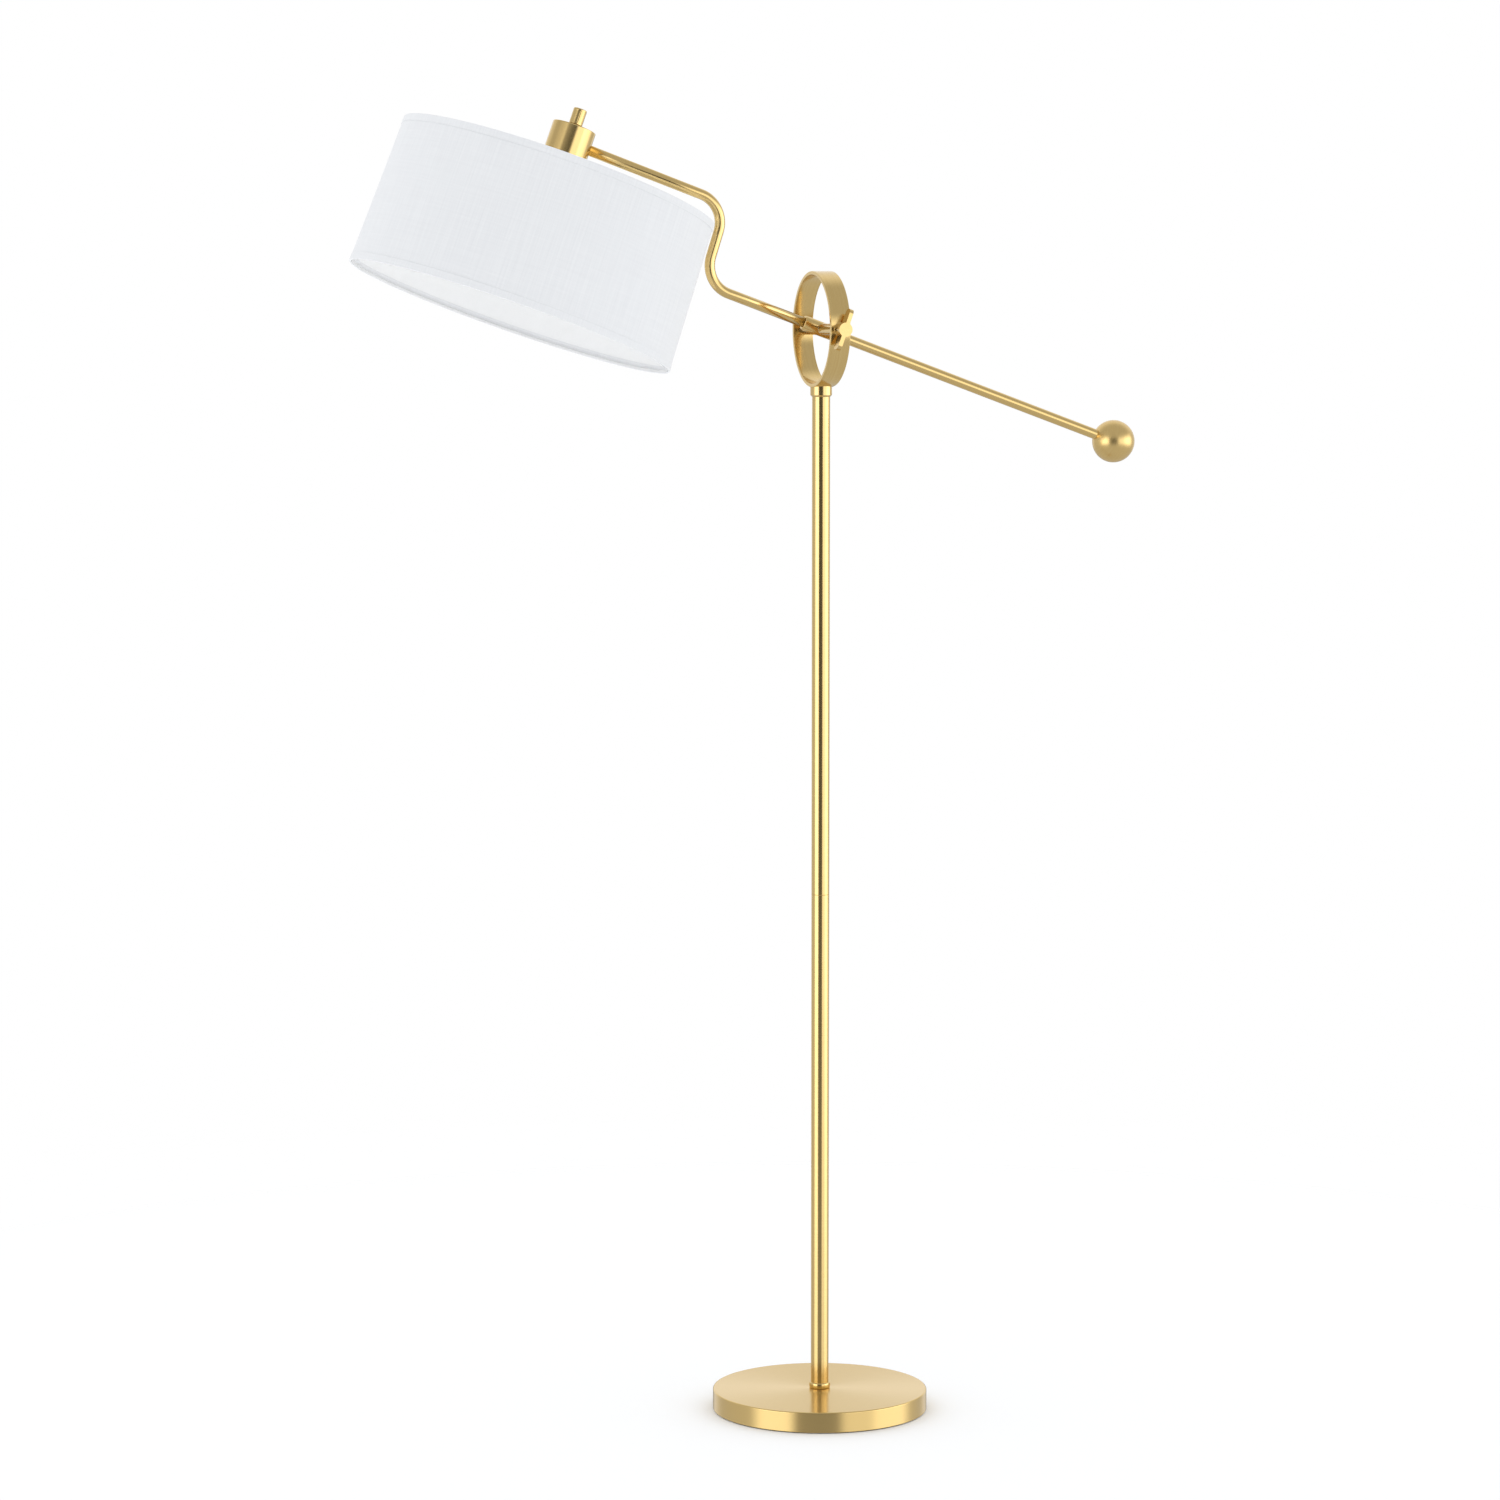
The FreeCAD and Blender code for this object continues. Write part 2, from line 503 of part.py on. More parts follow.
def make_ring():
    rim = NECK_RADIUS
    spigot = f"{POLE_INNER} - thread_gap"
    neck = turned("ring_neck", [
        ("neck_bore", f"{NECK_LOW} - spigot_length"), (spigot, f"{NECK_LOW} - spigot_length"),
        (spigot, NECK_LOW), (f"{rim} - neck_bevel", NECK_LOW), (rim, f"{NECK_LOW} + neck_bevel"),
        (rim, "pivot_height - ring_radius + neck_bevel"),
        ("neck_bore", "pivot_height - ring_radius + neck_bevel")])
    hole(neck, "YZ_Plane", "neck_saddle", ("0", "pivot_height"), "ring_radius", both=True)

    half = "ring_width / 2"
    side = "ring_width / 2 - ring_side"
    channel = turned("ring_channel", [
        (RING_INNER, f"-{half}"), ("ring_radius", f"-{half}"), ("ring_radius", half),
        (RING_INNER, half), (RING_INNER, side), (WEB_INNER, side), (WEB_INNER, f"-({side})"),
        (RING_INNER, f"-({side})")])
    hole(channel, "YZ_Plane", "neck_hole", ("0", "0"), "neck_bore", backwards=True)
    hole(channel, "XZ_Plane", "channel_axle_hole", ("0", "0"), "axle_radius + thread_gap",
         both=True)
    place(channel, z="pivot_height", axis=Vector(0, 1, 0), angle="90")

    liner_side = "(ring_width / 2 - ring_side - thread_gap)"
    liner = ring("ring_liner", RING_INNER, LINER_OUTER, f"-{liner_side}", liner_side)
    hole(liner, "XZ_Plane", "liner_axle_hole", ("0", "0"), "axle_radius + thread_gap", both=True)
    place(liner, z="pivot_height", axis=Vector(0, 1, 0), angle="90")


def make_axle():
    far = "-(ring_radius + cap_length - axle_clear)"
    near_end = f"{KNOB_FOOT} + knob_height - knob_crown - axle_short"
    window = "(lead_radius + entry_clear)"
    axle = turned("axle", [
        ("axle_bore", far), ("axle_radius", far), ("axle_radius", near_end), ("0", near_end),
        ("0", "bush_radius"), ("axle_bore", "bush_radius")])
    lead_ring = "(ring_radius - ring_depth / 2)"
    slot(axle, "XZ_Plane", "lead_entry", (f"-{window}", f"-({lead_ring} + {window})"),
         (window, f"-({lead_ring} - {window})"), depth="axle_radius + cut_extra",
         backwards=True)
    slot(axle, "XZ_Plane", "lead_exit", ("-axle_radius - cut_extra", "-bush_start + exit_land"),
         ("-exit_side", "bush_start - exit_land"), both=True)
    place_on_axle(axle)

    bore = "axle_radius + thread_gap"
    gap = f"{WASHER_END} + face_gap"
    near_spacer = ring("axle_spacer_near", bore, "spacer_radius", gap, SPACER_END)
    place_on_axle(near_spacer)
    far_spacer = ring("axle_spacer_far", bore, "spacer_radius", gap, SPACER_END)
    place_on_axle(far_spacer, "-90")
    cap = turned("axle_cap_nut", [
        (bore, "ring_radius"), ("cap_radius", "ring_radius"),
        ("cap_radius", "ring_radius + cap_side", "cap_curve", -1),
        ("cap_flat", "ring_radius + cap_length + cap_crown"),
        ("0", "ring_radius + cap_length + cap_crown"), ("0", "ring_radius + cap_length"),
        (bore, "ring_radius + cap_length")])
    place_on_axle(cap, "-90")
    washer = ring("knob_washer", bore, "knob_washer_radius", "ring_radius",
                  "ring_radius + knob_washer_thick")
    place_on_axle(washer)


def make_tension_knob():
    insert_radius = "axle_radius + insert_wall"
    insert_depth = "(knob_height - knob_crown)"
    insert = ring("knob_insert", "axle_radius + run_gap", insert_radius,
                  KNOB_FOOT, f"{KNOB_FOOT} + {insert_depth}")
    place_on_axle(insert)

    knob = doc.addObject("PartDesign::Body", "tension_knob")
    outline(sketch_on(knob, "YZ_Plane", "wing_profile"), wing_outline())
    wings = knob.newObject("PartDesign::Pad", "wings")
    wings.Profile = doc.getObject("wing_profile")
    wings.SideType = "Symmetric"
    wings.setExpression("Length", bound("wing_thick"))
    boss_sketch = sketch_on(knob, "XZ_Plane", "boss_profile", KNOB_FOOT)
    boss_sketch.addGeometry(Part.Circle(Vector(0, 0, 0), Vector(0, 0, 1), value("knob_boss")), False)
    boss_sketch.addConstraint(Sketcher.Constraint("Coincident", 0, 3, -1, 1))
    index = boss_sketch.addConstraint(Sketcher.Constraint("Radius", 0, value("knob_boss")))
    boss_sketch.renameConstraint(index, "radius")
    boss_sketch.setExpression("Constraints.radius", bound("knob_boss"))
    boss = knob.newObject("PartDesign::Pad", "boss")
    boss.Profile = boss_sketch
    boss.setExpression("Length", bound("knob_height"))
    hole(knob, "XZ_Plane", "insert_hole", ("0", "0"), insert_radius, offset=KNOB_FOOT,
         depth=insert_depth, backwards=True)
    place(knob, z="pivot_height", axis=Vector(0, 1, 0), angle="arm_angle")
    finish(knob, "tension_knob")


def wing_outline():
    """Rounded bar across the boss, in (outwards, along the wings) with outwards negative."""
    low = f"-({KNOB_FOOT} + wing_lift)"
    high = f"-({KNOB_FOOT} + knob_height)"
    low_in = f"-({KNOB_FOOT} + wing_lift + wing_corner)"
    high_in = f"-({KNOB_FOOT} + knob_height - wing_corner)"
    tip = "wing_span / 2"
    shoulder = "(wing_span / 2 - wing_corner)"
    return [
        (low, f"-{shoulder}"), (low, shoulder, "wing_corner", -1),
        (low_in, tip), (high_in, tip, "wing_corner", -1),
        (high, shoulder), (high, f"-{shoulder}", "wing_corner", -1),
        (high_in, f"-{tip}"), (low_in, f"-{tip}", "wing_corner", -1)]


# ---------------------------------------------------------------- arm

def make_sleeve():
    bore = "arm_radius + thread_gap"
    lead_room = "lead_radius + lead_slack"
    sleeve = turned("pivot_sleeve", [
        (bore, "-sleeve_half"), (f"{SLEEVE_RADIUS} - sleeve_bevel", "-sleeve_half"),
        (SLEEVE_RADIUS, "-sleeve_half + sleeve_bevel"),
        (SLEEVE_RADIUS, "sleeve_half - sleeve_bevel"),
        (f"{SLEEVE_RADIUS} - sleeve_bevel", "sleeve_half"), (bore, "sleeve_half"),
        (bore, "sleeve_web"), ("0", "sleeve_web"), ("0", "0"), (lead_room, "0"),
        (lead_room, "-sleeve_web"), (bore, "-sleeve_web")])
    hole(sleeve, "XZ_Plane", "bush_hole", ("0", "0"), "bush_radius", both=True)
    hole(sleeve, "XZ_Plane", "near_face", ("0", "0"), "face_radius", offset=SLEEVE_FLAT,
         depth=SLEEVE_RADIUS, backwards=True)
    hole(sleeve, "XZ_Plane", "far_face", ("0", "0"), "face_radius", offset=f"-{SLEEVE_FLAT}",
         depth=SLEEVE_RADIUS)
    place_on_arm(sleeve, quarter=90)

    bore = "axle_radius + run_gap"
    bushes = [ring(f"bush_{i}", bore, "bush_radius", "bush_start", SLEEVE_FLAT) for i in range(2)]
    washers = [ring(f"washer_{i}", bore, "friction_radius", SLEEVE_FLAT, WASHER_END)
               for i in range(2)]
    for pair in (bushes, washers):
        place_on_axle(pair[0])
        place_on_axle(pair[1], "-90")
    group("pivot_bushes", bushes)
    group("friction_washers", washers)


def tangent_path(corners, radii):
    """Straight runs through the corners, joined by tangent arcs of the given radii."""
    edges = []
    start = corners[0]
    for corner, following, radius in zip(corners[1:-1], corners[2:], radii):
        back = (start - corner).normalize()
        ahead = (following - corner).normalize()
        half = back.getAngle(ahead) / 2
        leave = corner + back * (radius / math.tan(half))
        join = corner + ahead * (radius / math.tan(half))
        toward = (back + ahead).normalize()
        middle = corner + toward * (radius / math.sin(half) - radius)
        edges.append(Part.LineSegment(start, leave).toShape())
        edges.append(Part.Arc(leave, middle, join).toShape())
        start = join
    edges.append(Part.LineSegment(start, corners[-1]).toShape())
    return edges


def pipe(edges, radius):
    """A round bar of the given radius along a path of tangent edges."""
    path = Part.Wire(edges)
    start = path.Edges[0].valueAt(path.Edges[0].FirstParameter)
    heading = path.Edges[0].tangentAt(path.Edges[0].FirstParameter)
    section = Part.Wire(Part.Circle(start, heading, radius).toShape())
    bar = path.makePipeShell([section], True, True)
    expected = math.pi * radius ** 2 * path.Length
    assert abs(bar.Volume - expected) < VOLUME_SLACK * expected, "pipe volume"
    return bar


def arm_corners(first, last):
    """Corners of the arm's centreline in its own plane, from near the pivot to the hub."""
    rise = value("riser_height")
    lean = rise * math.tan(math.radians(value("riser_lean")))
    reach = value(RISER_REACH)
    return [Vector(-first, 0, 0), Vector(-reach, 0, 0), Vector(-reach - lean, 0, rise),
            Vector(-last, 0, rise)]


def make_arm():
    bends = [value("bend_radius")] * 2
    tube_end = value(f"shade_reach - {TUBE_END}")
    edges = tangent_path(arm_corners(value("sleeve_web"), tube_end), bends)
    tube = pipe(edges, value("arm_radius")).cut(pipe(edges, value("arm_radius - arm_wall")))
    place_on_arm(fixed_shape("arm_tube", tube))
    lead_start = value("axle_radius + knob_gap")
    lead_end = value("shade_reach - switch_radius - slip")
    route = tangent_path(arm_corners(lead_start, lead_end), bends)
    print("arm lead: length %.0f, bend radii %s" % (Part.Wire(route).Length, bends))
    place_on_arm(fixed_shape("arm_lead", pipe(route, value("lead_radius"))))


def make_counterweight():
    rod_end = "(ball_reach - ball_seat)"
    stud = "stud_radius + thread_gap"
    rod = turned("counterweight_rod", [
        ("0", "sleeve_web"), ("arm_radius", "sleeve_web"), ("arm_radius", rod_end),
        (stud, rod_end), (stud, f"{rod_end} - stud_half"), ("0", f"{rod_end} - stud_half")])
    place_on_arm(rod, quarter=90)
    pin = turned("ball_stud", [
        ("0", "-stud_half"), ("stud_radius", "-stud_half"), ("stud_radius", "stud_half"),
        ("0", "stud_half")])
    place_on_arm(pin, along=rod_end, quarter=90)
    seat = "(arm_radius + thread_gap)"
    mouth = f"-sqrt(ball_radius ^ 2 - {seat} ^ 2)"
    ball = turned("counterweight_ball", [
        (seat, mouth, "ball_radius", -1), ("ball_radius", "0", "ball_radius", -1),
        ("0", "ball_radius"), ("0", "stud_half - ball_seat"), (stud, "stud_half - ball_seat"),
        (stud, "-ball_seat"), (seat, "-ball_seat")])
    place_on_arm(ball, along="ball_reach", quarter=90)


# ---------------------------------------------------------------- hub, switch and lamp holder

def on_hub(body):
    """Hub pieces are turned about the shade's axis, with heights counted from the arm line."""
    place_on_arm(body, along="-shade_reach")
    return body


def make_hub():
    inner = "hub_radius - hub_wall"
    hub = on_hub(turned("hub_housing", [
        (inner, HUB_BOTTOM), ("hub_radius", HUB_BOTTOM),
        ("hub_radius", f"{HUB_TOP} - hub_edge", "hub_edge", -1), ("hub_radius - hub_edge", HUB_TOP),
        ("switch_neck + thread_gap", HUB_TOP), ("switch_neck + thread_gap", SWITCH_TOP),
        (inner, SWITCH_TOP)]))
    hole(hub, "YZ_Plane", "arm_hole", ("0", "riser_height"), "arm_radius + thread_gap",
         backwards=True)
    on_hub(ring("hub_plate", "nipple_radius + thread_gap", f"{inner} - thread_gap",
                HUB_BOTTOM, f"{HUB_BOTTOM} + plate_thick"))
    locknut = ring("arm_locknut", "arm_radius + thread_gap", "locknut_radius", "0", "locknut_thick")
    place_on_arm(locknut, along=f"-(shade_reach - {NUT_SEAT})",
                 rise="riser_height", quarter=90)
    on_hub(ring("holder_nipple", "nipple_bore", "nipple_radius", HOLDER_CEILING,
                f"{HUB_BOTTOM} + plate_thick + stub_length"))
    nut = hex_nut("holder_nut", "holder_nut_across", "nipple_radius + thread_gap",
                  "holder_nut_thick")
    place_on_arm(nut, along="-shade_reach", rise=f"{HUB_BOTTOM} + plate_thick")


def make_switch():
    neck_bore = "shaft_radius + run_gap"
    floor = f"{SWITCH_TOP} - switch_length + switch_floor"
    on_hub(turned("switch_body", [
        ("0", f"{SWITCH_TOP} - switch_length"), ("switch_radius", f"{SWITCH_TOP} - switch_length"),
        ("switch_radius", SWITCH_TOP), ("switch_neck", SWITCH_TOP),
        ("switch_neck", f"{HUB_TOP} + neck_rise"), (neck_bore, f"{HUB_TOP} + neck_rise"),
        (neck_bore, floor), ("0", floor)]))
    on_hub(ring("switch_nut", "switch_neck + thread_gap", "switch_nut_radius", HUB_TOP,
                SWITCH_NUT_TOP))
    on_hub(turned("switch_shaft", [
        ("0", f"{floor} + face_gap"), ("shaft_radius", f"{floor} + face_gap"),
        ("shaft_radius", f"{TURN_LOW} + turn_socket"), ("0", f"{TURN_LOW} + turn_socket")]))
    skirt = f"{SWITCH_NUT_TOP} + knob_gap"
    top = f"{skirt} + turn_length"
    throat = "switch_neck + knob_gap"
    on_hub(turned("switch_knob", [
        (throat, skirt), ("turn_radius", skirt), ("turn_radius", f"{top} - turn_edge", "turn_edge", -1),
        ("turn_radius - turn_edge", top), ("0", top), ("0", f"{TURN_LOW} + turn_socket"),
        ("shaft_radius", f"{TURN_LOW} + turn_socket"), ("shaft_radius", TURN_LOW), (throat, TURN_LOW)]))


def make_lamp_holder():
    on_hub(turned("lamp_holder", [
        ("nipple_radius + thread_gap", HUB_BOTTOM), (HOLDER_FLANGE, HUB_BOTTOM),
        (HOLDER_FLANGE, FITTER_TOP), ("holder_radius", FITTER_TOP), ("holder_radius", HOLDER_LOW),
        ("cavity_radius", HOLDER_LOW), ("cavity_radius", HOLDER_CEILING),
        ("nipple_radius + thread_gap", HOLDER_CEILING)]))
    inside = "shell_radius - shell_wall"
    hole_radius = "contact_radius + contact_gap"
    on_hub(turned("holder_shell", [
        (inside, f"{HOLDER_LOW} + shell_inset"), ("shell_radius", f"{HOLDER_LOW} + shell_inset"),
        ("shell_radius", SHELL_TOP), (hole_radius, SHELL_TOP),
        (hole_radius, f"{SHELL_TOP} - shell_wall"), (inside, f"{SHELL_TOP} - shell_wall")]))
    on_hub(turned("holder_contact", [
        ("0", f"{SHELL_TOP} - contact_drop"), ("contact_radius", f"{SHELL_TOP} - contact_drop"),
        ("contact_radius", HOLDER_CEILING), ("0", HOLDER_CEILING)]))


def make_bulb():
    cap_top = f"({SHELL_TOP} - contact_drop - bulb_gap)"
    cap_low = f"({cap_top} - bulb_cap_length)"
    throat = "(bulb_cap_radius - cap_lip)"
    on_hub(turned("bulb_cap", [
        ("0", cap_low), (throat, cap_low), ("bulb_cap_radius", f"{cap_low} + lip_height"),
        ("bulb_cap_radius", f"{cap_top} - cone_height"), ("tip_foot", f"{cap_top} - tip_height"),
        ("tip_radius", cap_top), ("0", cap_top)]))
    collar = f"({cap_low} - collar_length)"
    thin = "(bulb_radius - bulb_wall)"
    out = "cos(cheek_angle * 1 deg)"
    up = "sin(cheek_angle * 1 deg)"
    on_hub(turned("bulb_globe", [
        (throat, cap_low), (f"{throat} - bulb_wall", cap_low),
        (f"{throat} - bulb_wall + collar_flare", collar),
        (f"{thin} * {out}", f"{BULB_MIDDLE} + {thin} * {up}", thin, 1), ("0", f"{BULB_MIDDLE} - {thin}"),
        ("0", f"{BULB_MIDDLE} - bulb_radius", "bulb_radius", -1),
        (f"bulb_radius * {out}", f"{BULB_MIDDLE} + bulb_radius * {up}"),
        (f"{throat} + collar_flare", collar)]))


# ---------------------------------------------------------------- shade

def on_shade(inset, height):
    """A point of the shade's outline, inset from the outer face, which narrows evenly upwards."""
    return (f"shade_radius - {inset} - shade_taper * ({height} - {SHADE_LOW}) / shade_height", height)


def make_shade():
    low = f"({SHADE_LOW} + trim_thick)"
    high = f"({SHADE_TOP} - trim_thick)"
    layers = (("shade_linen", LINEN_INNER, LINEN_OUTER), ("shade_liner", LINER_INNER, LINEN_INNER))
    for name, inner, outer in layers:
        on_hub(turned(name, [on_shade(inner, low), on_shade(outer, low),
                             on_shade(outer, high), on_shade(inner, high)]))
    for name, edge, sign in (("shade_trim_top", SHADE_TOP, "-"), ("shade_trim_bottom", SHADE_LOW, "+")):
        fold = f"({edge} {sign} trim_thick)"
        hem = f"({edge} {sign} trim_height)"
        on_hub(turned(name, [
            on_shade(TAPE_INNER, edge), on_shade("0", edge), on_shade("0", hem), on_shade(LINEN_OUTER, hem),
            on_shade(LINEN_OUTER, fold), on_shade(LINER_INNER, fold), on_shade(LINER_INNER, hem),
            on_shade(TAPE_INNER, hem)]))
    wire_low = f"({SHADE_LOW} + trim_thick + wire_radius)"
    for name, height in (("shade_wire_top", SPOKE_HIGH), ("shade_wire_bottom", wire_low)):
        wire = doc.addObject("Part::Torus", name)
        wire.setExpression("Radius1", bound(on_shade(WIRE_CENTRE, height)[0]))
        wire.setExpression("Radius2", bound("wire_radius"))
        place_on_arm(wire, along="-shade_reach", rise=height)
        finish(wire, name)


def make_spider():
    on_hub(ring("fitter_ring", "holder_radius + thread_gap", FITTER_RADIUS, FITTER_LOW, FITTER_TOP))
    on_hub(ring("shade_retainer", "holder_radius + thread_gap", RETAINER_RADIUS,
                f"{FITTER_LOW} - retainer_thick", FITTER_LOW))
    start = Vector(value(FITTER_RADIUS), 0, value(SPOKE_LOW))
    reach, height = on_shade(WIRE_CENTRE, SPOKE_HIGH)
    end = Vector(value(f"{reach} - wire_radius"), 0, value(height))
    rods = []
    for i in range(SPOKES):
        spin = Rotation(Vector(0, 0, 1), value("spoke_turn") + i * 360 / SPOKES)
        way = spin.multVec(end - start)
        rods.append(Part.makeCylinder(value("spoke_radius"), way.Length, spin.multVec(start), way))
    on_hub(fixed_shape("shade_spokes", Part.makeCompound(rods)))


# ---------------------------------------------------------------- lead inside the pole and ring

def make_root_lead():
    """From the terminal block under the weight, up the pole, round the ring, into the axle."""
    low = value("felt_thick + lead_radius + slip + lead_lift")
    block_mid = value("felt_thick + slip + block_height / 2")
    block_near = value("block_start")
    recess = value("recess_radius")
    pivot = value("pivot_height")
    track = value("ring_radius - ring_depth / 2")
    swing = value("swing_bend")
    tight = value("tight_bend")

    def spot(y, z):
        return Vector(0, y, z)

    def round_bend(centre, radius, first, last):
        """Arc in the YZ plane between two angles in degrees from +Y."""
        three = []
        for angle in (first, (first + last) / 2, last):
            turn = math.radians(angle)
            three.append(spot(centre[0] + radius * math.cos(turn), centre[1] + radius * math.sin(turn)))
        return Part.Arc(*three).toShape()

    drop = math.sqrt(track ** 2 + 2 * track * swing)
    corners = [spot(block_near, block_mid), spot(block_near - recess, block_mid),
               spot(recess / 2, low), spot(0, low), spot(0, pivot - drop)]
    radii = [value("block_bend"), value("recess_bend"), value("rising_bend")]
    edges = tangent_path(corners, radii)
    meet = math.degrees(math.atan2(-drop, swing))
    edges.append(round_bend((swing, pivot - drop), swing, 180, 180 + meet))
    inset = math.sqrt((track - tight) ** 2 - tight ** 2)
    leave = math.degrees(math.atan2(-tight, inset))
    edges.append(round_bend((0, pivot), track, meet, leave))
    edges.append(round_bend((inset, pivot - tight), tight, leave, 90))
    edges.append(Part.LineSegment(spot(inset, pivot), spot(value("bush_start"), pivot)).toShape())
    bends = radii + [swing, track, tight]
    print("pole lead: length %.0f, bend radii %s" % (Part.Wire(edges).Length, bends))
    fixed_shape("pole_lead", pipe(edges, value("lead_radius")))


make_base()
make_base_fixings()
make_pole()
make_ring()
make_axle()
make_tension_knob()
make_sleeve()
make_arm()
make_counterweight()
make_hub()
make_switch()
make_lamp_holder()
make_bulb()
make_shade()
make_spider()
make_root_lead()
doc.recompute()

for thing in doc.Objects:
    if "Invalid" in thing.State or "Error" in thing.State:
        raise RuntimeError(f"{thing.Name} is {thing.State}")
for part in parts:
    if part.Shape.isNull() or not part.Shape.isValid() or part.Shape.Volume <= 0:
        raise RuntimeError(f"{part.Label} has no sound shape")

os.makedirs("parts", exist_ok=True)
for part in parts:
    part.Shape.exportStep(os.path.join("parts", part.Label + ".step"))
print(len(parts), "sub-parts written")
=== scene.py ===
# Looks of a floor lamp with a pivoting arm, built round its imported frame. Metres, +Z up.
import bpy
import json
import math
import numpy as np
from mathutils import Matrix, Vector
from types import SimpleNamespace


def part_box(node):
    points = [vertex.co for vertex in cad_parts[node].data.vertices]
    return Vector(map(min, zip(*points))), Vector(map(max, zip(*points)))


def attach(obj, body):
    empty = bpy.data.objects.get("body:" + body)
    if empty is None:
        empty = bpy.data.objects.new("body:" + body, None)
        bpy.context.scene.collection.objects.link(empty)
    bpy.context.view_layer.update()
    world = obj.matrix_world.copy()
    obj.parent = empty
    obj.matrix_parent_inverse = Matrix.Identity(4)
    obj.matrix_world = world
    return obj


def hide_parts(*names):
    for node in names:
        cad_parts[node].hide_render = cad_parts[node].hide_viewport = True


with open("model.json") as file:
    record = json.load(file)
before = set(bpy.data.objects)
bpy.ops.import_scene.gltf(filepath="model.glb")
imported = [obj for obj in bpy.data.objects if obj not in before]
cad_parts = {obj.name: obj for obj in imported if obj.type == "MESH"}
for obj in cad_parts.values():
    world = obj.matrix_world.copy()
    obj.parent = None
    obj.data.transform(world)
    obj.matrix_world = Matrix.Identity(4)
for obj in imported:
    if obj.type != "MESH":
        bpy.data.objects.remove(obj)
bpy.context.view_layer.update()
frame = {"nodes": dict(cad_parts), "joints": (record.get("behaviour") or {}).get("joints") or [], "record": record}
nodes = frame["nodes"]
joints = {joint["name"]: joint for joint in frame["joints"]}
slotOf = {part["node"]: part["material_slot"] for part in frame["record"]["subparts"]}
bodyOf = {name: body for body, names in frame["record"]["behaviour"]["bodies"].items() for name in names}
print("frame loaded:", len(nodes), "nodes")

# Places in the lamp, all read from the frame.
mm = 0.001
pivot = np.array(joints["arm_tilt"]["pos_m"], float)
switchPlace = np.array(joints["switch_turn"]["pos_m"])
hubAxis = np.array(joints["switch_turn"]["axis"], float)
hubPoint = switchPlace - ((switchPlace - pivot) @ hubAxis) * hubAxis  # level with the arm's line
armAxis = np.array([hubAxis[2], 0.0, -hubAxis[0]])  # along the arm, towards the ball
floorPoint = np.zeros(3)
upward = np.array([0.0, 0.0, 1.0])
nearAxle = np.array([0.0, -1.0, 0.0])  # out of the ring's near side
ringAxis = np.array([1.0, 0.0, 0.0])


def pointsOf(node):
    data = nodes[node].data
    flat = np.empty(len(data.vertices) * 3, np.float32)
    data.vertices.foreach_get("co", flat)
    return flat.reshape(-1, 3).astype(float)


def measure(node, origin, axis):
    # a node's lowest and highest point along an axis, and its least and greatest distance from it
    away = pointsOf(node) - origin
    along = away @ axis
    radius = np.linalg.norm(away - along[:, None] * axis, axis=1)
    return SimpleNamespace(low=along.min(), top=along.max(), inner=radius.min(), outer=radius.max())


def crossAxes(axis):
    # two directions square to the axis, so that (first, second, axis) is right-handed
    onAxle = abs(axis @ nearAxle) > 0.9
    first = np.cross(axis, upward) if onAxle else np.cross(nearAxle, axis)
    first = first / np.linalg.norm(first)
    return first, np.cross(axis, first)


def surface(name, grid, across, around, grain, closedRows=False):
    # Rows of points follow the profile and columns go round it. The columns close on themselves,
    # a row whose points coincide becomes a single point, and the rows close if asked. The UV map
    # holds metres along the profile and metres round, and grain holds what streaks are read from.
    samePoint = 1e-7  # metres
    rows, columns = grid.shape[:2]
    index = np.arange(rows * columns).reshape(rows, columns)
    shut = np.ptp(grid, axis=1).max(axis=1) < samePoint
    index[shut] = index[shut][:, :1]
    rings = np.vstack([index, index[:1]]) if closedRows else index
    corners = [rings[:-1], np.roll(rings[:-1], -1, 1), np.roll(rings[1:], -1, 1), rings[1:]]
    quads = np.stack(corners, -1).reshape(-1, 4)
    row, column = np.meshgrid(np.arange(len(rings) - 1), np.arange(columns), indexing="ij")
    cornerRow = np.stack([row, row, row + 1, row + 1], -1).reshape(-1, 4)
    cornerColumn = np.stack([column, column + 1, column + 1, column], -1).reshape(-1, 4)
    uv = np.stack([across[cornerRow], around[cornerColumn]], -1)
    startShut = quads[:, 0] == quads[:, 1]
    endShut = quads[:, 2] == quads[:, 3]
    kinds = [(~(startShut | endShut), [0, 1, 2, 3]), (startShut, [0, 2, 3]), (endShut, [0, 1, 2])]
    faces = [quads[chosen][:, kept] for chosen, kept in kinds]
    faceUv = np.concatenate([uv[chosen][:, kept].reshape(-1, 2) for chosen, kept in kinds])
    used = np.unique(np.concatenate([group.ravel() for group in faces]))
    mesh = bpy.data.meshes.new(name)
    mesh.from_pydata(grid.reshape(-1, 3)[used].tolist(), [],
                     sum([np.searchsorted(used, group).tolist() for group in faces], []))
    mesh.uv_layers.new(name="UVMap").data.foreach_set("uv", faceUv.ravel())
    streaks = mesh.attributes.new("grain", "FLOAT_VECTOR", "POINT")
    streaks.data.foreach_set("vector", grain.reshape(-1, 3)[used].ravel())
    mesh.shade_smooth()
    piece = bpy.data.objects.new(name, mesh)
    bpy.context.scene.collection.objects.link(piece)
    return piece


sectionLook = {"arcSteps": 5, "guard": 0.15 * mm, "guardShare": 0.2, "shortest": 0.02 * mm}


